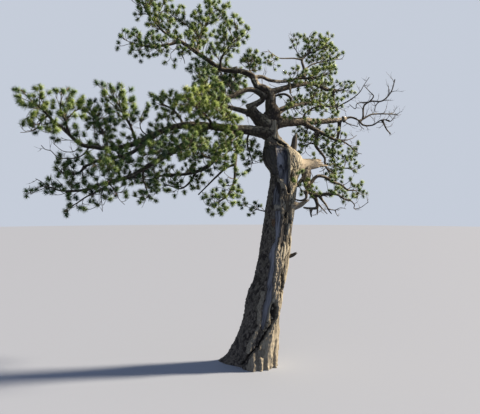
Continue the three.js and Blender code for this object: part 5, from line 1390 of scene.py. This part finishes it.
# %% Twigs that show one by one
# Each line: what it is joined with, what it grows on, the depth of its tip, its radii, where its leafy part
# starts, with 1 for a bare one, and its route.
LONE_TWIGS = {
    "left_long_twig": ("left", "bough_left_upper", -720, (7, 3), 1, [(-1600, 2185), (-1670, 2105),
        (-1750, 2070), (-1890, 2070), (-1930, 2082), (-1990, 2140), (-2050, 2158), (-2090, 2200)]),
    "left_thin_twig": ("left", "bough_left_upper", -800, (5, 2.4), 1, [(-1690, 2210), (-1750, 2140),
        (-1870, 2140), (-1970, 2220)]),
    "left_low_twig": ("low", "foliage_left_low_tip", -760, (6, 3), 1, [(-1960, 1765), (-2040, 1790),
        (-2090, 1835), (-2150, 1865)]),
    "left_low_tip": ("low", "foliage_left_low_tip", -800, (5, 2.4), 0.85, [(-1960, 1765), (-2030, 1780),
        (-2090, 1755), (-2130, 1740)]),
    "inner_twig": ("left", "bough_left", -560, (8, 3), 0.3, [(-1000, 2290), (-1080, 2340), (-1100, 2410),
        (-1090, 2480)]),
    "centre_hook": ("low", "bough_center_low", 120, (13, 5), 0.35, [(-545, 1935), (-575, 1865),
        (-640, 1790), (-700, 1762), (-780, 1785), (-860, 1815)]),
    "centre_hook_low": ("low", "bough_center_low", 100, (7, 3), 0.3, [(-480, 1955), (-500, 1880),
        (-530, 1830), (-520, 1770)]),
    "hanging_twig": ("low", "foliage_hanging", -200, (12, 6), 1, [(-145, 2010), (-240, 1970), (-330, 1890),
        (-430, 1790), (-520, 1700)]),
    "top_dead_twig": ("crown", "bough_top_left", -240, (6, 3), 1, [(-640, 3200), (-685, 3120), (-665, 3070),
        (-650, 3010)]),
    "top_fork": ("crown", "foliage_top_mid", 60, (8, 3), 0.3, [(-505, 3270), (-580, 3360), (-680, 3430),
        (-780, 3500)]),
    "top_fork_right": ("crown", "foliage_top_mid", 120, (7, 3), 0.4, [(-455, 3380), (-400, 3420),
        (-340, 3440), (-270, 3520)]),
    "top_tip": ("crown", "foliage_top_high", -60, (6, 3), 0.2, [(-960, 3440), (-900, 3540), (-850, 3640)]),
    "top_low": ("crown", "foliage_top_left", -300, (7, 3), 0.3, [(-720, 3235), (-740, 3170), (-790, 3120)]),
    "crown_side": ("right", "foliage_crown_right", 300, (7, 3), 0.3, [(525, 3040), (470, 3130), (430, 3210),
        (440, 3290)]),
    "ring_twig": ("right", "bough_right_upper", 240, (6, 3), 0.4, [(450, 2800), (400, 2740), (430, 2660),
        (400, 2590)]),
    "curl_twig": ("right", "bough_curl", -20, (6, 3), 0.4, [(395, 2600), (440, 2560), (470, 2500),
        (430, 2480)]),
    "dead_upper": ("dead", "bough_right_upper", 470, (9, 3), 1, [(890, 2590), (950, 2620), (1090, 2720),
        (1140, 2800), (1195, 2880)]),
    "dead_cross": ("dead", "dead_twigs_right", 500, (8, 3), 1, [(1200, 2640), (1235, 2690), (1200, 2730),
        (1140, 2795)]),
    "dead_back": ("dead", "dead_twigs_right", 450, (7, 3), 1, [(1180, 2625), (1120, 2625), (1067, 2610),
        (1055, 2562), (990, 2610)]),
    "dead_rung": ("dead", "dead_twigs_right", 500, (6, 3), 1, [(1290, 2640), (1262, 2600), (1233, 2512)]),
    "dead_prong": ("dead", "dead_twigs_right", 500, (5, 2.5), 1, [(1370, 2690), (1386, 2740),
        (1384, 2795)]),
    "dead_tip": ("dead", "dead_twigs_right", 620, (5, 2.5), 1, [(1400, 2508), (1440, 2530), (1437, 2560)]),
    "dead_hook": ("dead", "dead_twigs_right", 350, (6, 2.5), 1, [(1360, 2440), (1400, 2435), (1444, 2481),
        (1458, 2522)]),
    "dead_low": ("dead", "dead_twigs_right", 420, (7, 3), 1, [(1090, 2445), (1095, 2404), (1144, 2353)]),
    "dead_short": ("dead", "bough_right", 400, (8, 3), 1, [(920, 2452), (985, 2412), (1085, 2382)]),
    "right_spray": ("right_low", "bough_right_low", 320, (8, 3), 0.15, [(590, 2388), (560, 2330),
        (530, 2270), (490, 2220)]),
    "right_spray_low": ("right_low", "bough_right_low", 200, (8, 3), 0.15, [(660, 2348), (640, 2290),
        (610, 2230), (560, 2180)]),
    "right_hook": ("right_low", "foliage_right_low", 620, (7, 3), 1, [(876, 2262), (927, 2250),
        (1016, 2264), (1067, 2298)]),
    "right_middle": ("right_low", "foliage_right_low", 640, (6, 3), 0.5, [(826, 2110), (895, 2060),
        (965, 2072), (1016, 2034)]),
    "right_tail": ("right_low", "foliage_right_low", 620, (5, 2.4), 1, [(985, 1970), (1080, 1962),
        (1150, 1998)]),
    "right_dot": ("right_low", "foliage_right_low", 560, (5, 3), 0.6, [(850, 2015), (860, 1930),
        (835, 1878)]),
    "knot_twig": ("right_low", "foliage_right_knot", 330, (6, 3), 1, [(768, 1962), (790, 1925), (840, 1912),
        (890, 1972)]),
    "skirt_dead": ("skirt", "bough_skirt", -60, (21, 9), 1, [(625, 1705), (660, 1650), (668, 1575),
        (600, 1566), (530, 1574)]),
    "skirt_prong": ("skirt", "skirt_dead", -60, (13, 6), 1, [(612, 1567), (608, 1520), (616, 1476)]),
    "skirt_peg": ("skirt", "skirt_dead", -60, (11, 5), 1, [(668, 1590), (674, 1540), (670, 1500)]),
    "skirt_fork": ("skirt", "foliage_skirt_low", -120, (15, 5), 1, [(690, 1700), (730, 1640), (762, 1600),
        (790, 1545), (818, 1508)]),
    "skirt_back": ("skirt", "skirt_dead", 20, (10, 4), 1, [(666, 1620), (705, 1585), (775, 1508)]),
    "skirt_long": ("skirt", "skirt_fork", -120, (6, 2.5), 1, [(780, 1560), (850, 1550), (905, 1572),
        (965, 1560)]),
    "skirt_drop": ("skirt", "skirt_long", -120, (5, 2.5), 1, [(850, 1550), (862, 1515), (885, 1482)]),
    "skirt_far": ("skirt", "foliage_skirt_low", -220, (7, 2.5), 1, [(930, 1665), (1010, 1640), (1045, 1600),
        (1040, 1565), (1100, 1572), (1190, 1635)]),
    "skirt_inner": ("skirt", "foliage_skirt_low", -130, (15, 6), 1, [(560, 1735), (560, 1670), (510, 1645),
        (440, 1660)]),
    "skirt_rise": ("skirt", "foliage_skirt_low", -150, (6, 3), 0.3, [(520, 1742), (490, 1790),
        (475, 1840)]),
}
# Lengths in mm, and LONE_WAY as LEAFY_WAY is.
LONE_PITCH = 36
LONE_REACH = (40, 80)
LONE_TWIG = 2.6
LONE_WAY = (0.8, 0.8, 0.4)
LONE_FRESH_AND_SUNLIT, LONE_FULL = 0.5, 0.9
lone_twigs = {}
for n, (name, (group, on, deep, radii, leafy, route)) in enumerate(LONE_TWIGS.items(), start=500):
    parents = limbs.get(on) or stems.get(on) or [lone_twigs[on]]
    piece = {**limb(route, deep, radii, parents), "group": group}
    lone_twigs[name] = piece
    count = round(piece["length"] * (1 - leafy) / LONE_PITCH)
    if count:
        shares = leafy + (1 - leafy) * (np.arange(count) + 1) / count
        side_lines = twigs_along(piece, shares, (n, 0, 16), LONE_REACH, LONE_WAY, first_turn=n)
        mains = [(line, LONE_TWIG, FEW_SIDE_TWIGS) for line in side_lines]
        grow(mains, n, group, LONE_FRESH_AND_SUNLIT, LONE_FULL, stretches(piece, n), LEAFY_OFF_BOUGH)
print("lone twigs", len(lone_twigs), "and now", len(tuft_rows), "tufts")

# %% [markdown]
# ## Bare dead twigs
# The far end of the right bough has lost its needles, and so have short spurs all along the boughs and on
# the twigs that show one by one. They grow by the same rule, but straighter, finer and in two orders only.

# %% Dead spurs
# Each kind: the pitch of its twigs along the limb, and their shortest and longest reach, in mm.
BOUGH_SPURS = (105, (60, 170))
DEAD_STEM_TWIGS = (55, (45, 110))
LONE_TWIG_SPURS = (70, (14, 48))
DEAD_STRAYS = 0.7
DEAD_AHEAD, DEAD_RISE, DEAD_SINKS = 0.5, 0.25, 0.3
DEAD_TWIG, DEAD_TWIG_TIP = 4.2, 1.2
DEAD_SHOOTS = 2
DEAD_SHOOT_REACH = (30, 75)
DEAD_SHOOT_RADII = (1.9, 0.8)
DEAD_FIRST, DEAD_SPREAD = 0.45, 0.7
# Spurs start this far from the trunk, in mm, but at this share of a short bough at the latest.
SPURS_OFF_TRUNK, SPURS_START_BY = 330, 0.6


def dead_twigs_on(piece, n, kind, start, group):
    """Bare twigs along a limb, each with three finer ones, the last of them ahead."""
    pitch, reach = kind
    count = round(piece["length"] * (1 - start) / pitch)
    j = np.arange(count)
    shares = start + (1 - start) * (j + DEAD_STRAYS * chance(n, j, 31)) / count
    rise = DEAD_RISE * (chance(n, j, 32) - DEAD_SINKS)
    radii = [radius_at(piece, s) for s in shares]
    parts = (DEAD_AHEAD, 1.0, rise)
    lines = twigs_along(piece, shares, (n, 0, 33), reach, parts, extra=radii, first_turn=n)
    for k, (line, radius) in enumerate(zip(lines, radii)):
        thick = (min(DEAD_TWIG, 0.5 * float(radius)), DEAD_TWIG_TIP)
        twig_rows.append({"line": line, "thick": thick, "group": group})
        for shoot in side_shoots(line, DEAD_SHOOTS, DEAD_SHOOT_REACH, n, k * DRAWS_PER_SIDE, DEAD_FIRST,
                                 DEAD_SPREAD):
            shoot_rows.append({"line": shoot, "thick": DEAD_SHOOT_RADII, "group": group})


for n, piece in enumerate(lone_twigs.values(), start=500):
    dead_twigs_on(piece, n, LONE_TWIG_SPURS, 0.25, piece["group"])
for n, stem in enumerate(stems["dead_twigs_right"], start=300):
    dead_twigs_on(stem, n, DEAD_STEM_TWIGS, 0.1, "dead")
for n, (name, facts) in enumerate(BOUGHS.items(), start=400):
    bough = limbs[name][0]
    start = min(SPURS_START_BY, SPURS_OFF_TRUNK / bough["length"]) if facts["on"] == "trunk" else 0.12
    if not name.startswith("broken"):
        dead_twigs_on(bough, n, BOUGH_SPURS, start, "spurs")

# %% [markdown]
# ## Stems and twigs as skins
# Twigs are slim tubes with a few corners and no plates: at their size the bark is only a fine crackle,
# which the material gives. Stems get the same flaky skin as the boughs. They are joined into one piece for
# each part of the crown.

# %% Twig bark
# Waves in a metre: a crackle every 4.5 mm, drawn coarser than the real one so that it still shows, and a
# patch every 45 mm.
CRACKLE, TWIG_PATCH = 220.0, 22.0
TWIG_ROUGH = 0.85
TWIG_BUMP, TWIG_BUMP_HIGH = 0.5, 0.001


def twig_material(name, low, high, patch):
    """Thin bark of young twigs: two browns mixed by a fine noise, with paler patches, and a little bump."""
    material, tree, shader = new_material(name)
    place_at = add(tree, "ShaderNodeTexCoord").outputs["Object"]
    fine = add(tree, "ShaderNodeTexNoise", {"Vector": place_at, "Scale": CRACKLE,
                                            "Detail": 3.0}).outputs["Fac"]
    broad = add(tree, "ShaderNodeTexNoise", {"Vector": place_at, "Scale": TWIG_PATCH,
                                             "Detail": 2.0}).outputs["Fac"]
    first = add(tree, "ShaderNodeMix", {0: fine, 6: linear(low), 7: linear(high)}, data_type="RGBA")
    patches = add(tree, "ShaderNodeMapRange", {"Value": broad, "From Min": 0.5, "From Max": 0.7})
    laid = {0: patches.outputs["Result"], 6: first.outputs[2], 7: linear(patch)}
    second = add(tree, "ShaderNodeMix", laid, data_type="RGBA")
    tree.links.new(second.outputs[2], shader.inputs["Base Color"])
    shader.inputs["Roughness"].default_value = TWIG_ROUGH
    bump = add(tree, "ShaderNodeBump", {"Height": fine, "Strength": TWIG_BUMP, "Distance": TWIG_BUMP_HIGH})
    tree.links.new(bump.outputs["Normal"], shader.inputs["Normal"])
    return material


# Bark of living twigs: olive brown with tan patches, a warm line among the needles.
twig_bark = twig_material("pine_twig_bark", 0x4E4437, 0x857762, 0x9A8C74)
# Dry dead twigs: greyer and duller, so they stand out from the green.
dead_twig_wood = twig_material("dead_twig_wood", 0x3E3731, 0x70675C, 0x8C8274)

# %% Twigs and stems
STEM_BURIED = 18
STEM_CORNERS = 12
LONE_CORNERS = 8
# Corners round and rings along.
TWIG_BUILD, SHOOT_BUILD = (5, 6), (3, 3)


def slim_tubes(rows, sides, rings):
    """Bent twigs as closed tubes: all their lines at once, each with its radius going evenly from end to
    end."""
    lines = np.array([row["line"] for row in rows])
    thick = np.array([row["thick"] for row in rows], float)
    t = np.linspace(0, 1, rings)[None, :, None]
    centres = along_bent(lines.swapaxes(0, 1)[:, :, None], t)
    radii = between((thick[:, :1], thick[:, 1:]), t[..., 0])
    return tube_points(centres, radii, sides), tube_faces(len(rows), rings, sides)


groups = list(dict.fromkeys(mass["group"] for mass in MASSES.values()))
for number, group in enumerate(groups + ["spurs"]):
    names = [name for name, mass in MASSES.items() if mass["group"] == group]
    parts = []
    for name in names:
        for index, stem in enumerate(stems[name]):
            own = own_features(name) if index == 0 else {}
            parts.append(limb_surface(stout(stem, name), STEM_BURIED, 200 + len(parts) + 20 * number,
                                      STEM_CORNERS, **own))
    for piece in lone_twigs.values():
        if piece["group"] == group:
            parts.append(limb_surface(piece, piece["radii"][0], 150 + len(parts), LONE_CORNERS))
    tints = [np.zeros(sum(len(part[1]) for part in parts))]
    for rows, sides, rings in ((twig_rows, *TWIG_BUILD), (shoot_rows, *SHOOT_BUILD)):
        chosen = [row for row in rows if row["group"] == group]
        if chosen:
            points, faces = slim_tubes(chosen, sides, rings)
            parts.append((points, faces, {mark: np.zeros(len(points)) for mark in trunk_marks}))
            tints.append(np.ones(len(faces)))
    points, faces, marks = joined(parts)
    bare_wood = group in ("dead", "spurs")
    materials = [young_pine_bark, dead_twig_wood if bare_wood else twig_bark]
    made = skin("twigs_" + group, points, faces, materials, marks, np.concatenate(tints))
    if names:
        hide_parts(*names)
    print(made.name, len(faces), "triangles")

# %% [markdown]
# ## Needles
# This pine has short needles, about 4 cm long, that stand in a dense brush round the last few centimetres
# of each shoot: nearly straight ahead at the tip and almost square to the shoot at its back. A tuft is
# drawn once in a few versions and set at every tip. Each needle is a slim three-sided spike. It is two to
# three times as wide as a real one, because a tuft here has fewer needles than a real one.

# %% One tuft
# Lengths in mm, angles in radians. The needles' places start a little beyond the shoot's tip and run back
# along its stalk, and the foremost needles are a little shorter.
NEEDLES = 84
NEEDLE_LENGTH = 43
NEEDLE_SHORTEST, NEEDLE_VARIES, FOREMOST_SHORTER = 0.78, 0.3, 0.15
NEEDLE_WIDTH = 3.8
TUFT_AHEAD = 4
TUFT_STALK = 26
TUFT_VERSIONS = 5
LEAN_AHEAD, LEAN_BACK = 0.2, 1.55
LEAN_RISES, LEAN_VARIES, SPIN_VARIES = 0.75, 0.35, 0.7


def tuft(version):
    """Corners of a tuft's needles round a shoot along +Z that ends at 0, and their faces. Needle k starts a
    share of the way back along the stalk, turned by k golden angles. The further back, the further it leans
    out."""
    k = np.arange(NEEDLES)
    back = (k + 0.5) / NEEDLES
    lean = between((LEAN_AHEAD, LEAN_BACK), back**LEAN_RISES) + LEAN_VARIES * (chance(k, version, 21) - 0.5)
    spin = k * GOLDEN_ANGLE + SPIN_VARIES * chance(k, version, 22)
    way = np.stack([np.sin(lean) * np.cos(spin), np.sin(lean) * np.sin(spin), np.cos(lean)], axis=1)
    start = np.stack([0 * back, 0 * back, TUFT_AHEAD - TUFT_STALK * back], axis=1)
    length = NEEDLE_LENGTH * (NEEDLE_SHORTEST + NEEDLE_VARIES * chance(k, version, 23))
    length = length * (1 - FOREMOST_SHORTER * (1 - back) ** 3)
    side = unit(np.cross(way, [0.3, 0.2, 1.0]))
    other = np.cross(way, side)
    around = np.arange(3) * 2 * np.pi / 3
    foot = start[:, None] + NEEDLE_WIDTH / 2 * (side[:, None] * np.cos(around)[:, None]
                                                + other[:, None] * np.sin(around)[:, None])
    tip = start + way * length[:, None]
    corners = np.concatenate([foot, tip[:, None]], axis=1)
    one = np.array([(0, 1, 3), (1, 2, 3), (2, 0, 3), (2, 1, 0)])
    return corners.reshape(-1, 3), repeated(one, 4 * k)


versions = [tuft(version) for version in range(TUFT_VERSIONS)]
print("one tuft", len(versions[0][1]), "triangles")

# %% [markdown]
# ### Greens
# No two tufts have quite the same green. Each mass has its own green, partly its freshness and partly
# painted sun and shade: yellower at the crown's sunny edge and darker and bluer where it hangs in the shade,
# and chance moves each tuft a little from it. The tints are plain colours dealt out tuft by tuft. The
# needles have a waxy skin, so they keep a soft sheen.

# %% Needle materials
GREENS = (
    ("blue_green_needles", 0x4E6A4C), ("deep_green_needles", 0x5E7C42), ("green_needles", 0x769046),
    ("olive_needles", 0x8AA04C), ("fresh_needles", 0x9AB054), ("yellow_needles", 0xAAB85C),
)
# A mood of 0 is about the first of these and one of 1 the last but one. Chance moves a tuft's mood by this
# much.
GREENS_IN_MOOD, FIRST_GREEN = 4.0, 0.6
MOOD_VARIES = 0.7
TUFT_LEAST, TUFT_GROWS = 0.9, 0.25


def needle_material(name, colour):
    """Pine needles with a waxy skin: a plain green, half rough, with a thin soft coat."""
    material, tree, shader = new_material(name)
    shader.inputs["Base Color"].default_value = linear(colour)
    shader.inputs["Roughness"].default_value = 0.5
    shader.inputs["Coat Weight"].default_value = 0.15
    shader.inputs["Coat Roughness"].default_value = 0.4
    return material


needle_materials = [needle_material(name, colour) for name, colour in GREENS]

# %% Needles on every shoot
def set_tufts(rows):
    """All the needles of some tufts: each version is turned from +Z to the shoot's direction, spun about it
    and moved to the tip. Returns points, faces and the number of each face's green."""
    points, faces, tints = [], [], []
    start = 0
    for version, (corners, one) in enumerate(versions):
        chosen = [row for row in rows if int(row["chance"] * 997) % TUFT_VERSIONS == version]
        if not chosen:
            continue
        ahead = np.array([row["direction"] for row in chosen])
        tips = np.array([row["tip"] for row in chosen])
        spin = np.array([row["spin"] for row in chosen])[:, None]
        size = np.array([row["size"] * (TUFT_LEAST + TUFT_GROWS * row["chance"]) for row in chosen])
        flat = unit(np.cross(ahead, [0.31, 0.17, 0.94]))
        other = np.cross(ahead, flat)
        across = flat * np.cos(spin) + other * np.sin(spin)
        up = np.cross(ahead, across)
        turn = np.stack([across, up, ahead], axis=1)
        placed = tips[:, None] + np.einsum("vk,tkj->tvj", corners, turn) * size[:, None, None]
        points.append(placed.reshape(-1, 3))
        faces.append(repeated(one, np.arange(len(chosen)) * len(corners) + start))
        start += len(chosen) * len(corners)
        mood = np.array([row["fresh"] + MOOD_VARIES * (row["chance"] - 0.5) for row in chosen])
        number = np.clip((mood * GREENS_IN_MOOD + FIRST_GREEN).astype(int), 0, len(GREENS) - 1)
        tints.append(np.repeat(number, len(one)))
    return np.vstack(points), np.vstack(faces), np.concatenate(tints)


for group in groups:
    rows = [row for row in tuft_rows if row["group"] == group]
    if not rows:
        continue
    points, faces, tints = set_tufts(rows)
    made = skin("needles_" + group, points, faces, needle_materials, tint=tints)
    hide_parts(*(name for name, mass in MASSES.items() if mass["group"] == group))
    print(made.name, len(rows), "tufts", len(faces), "triangles")
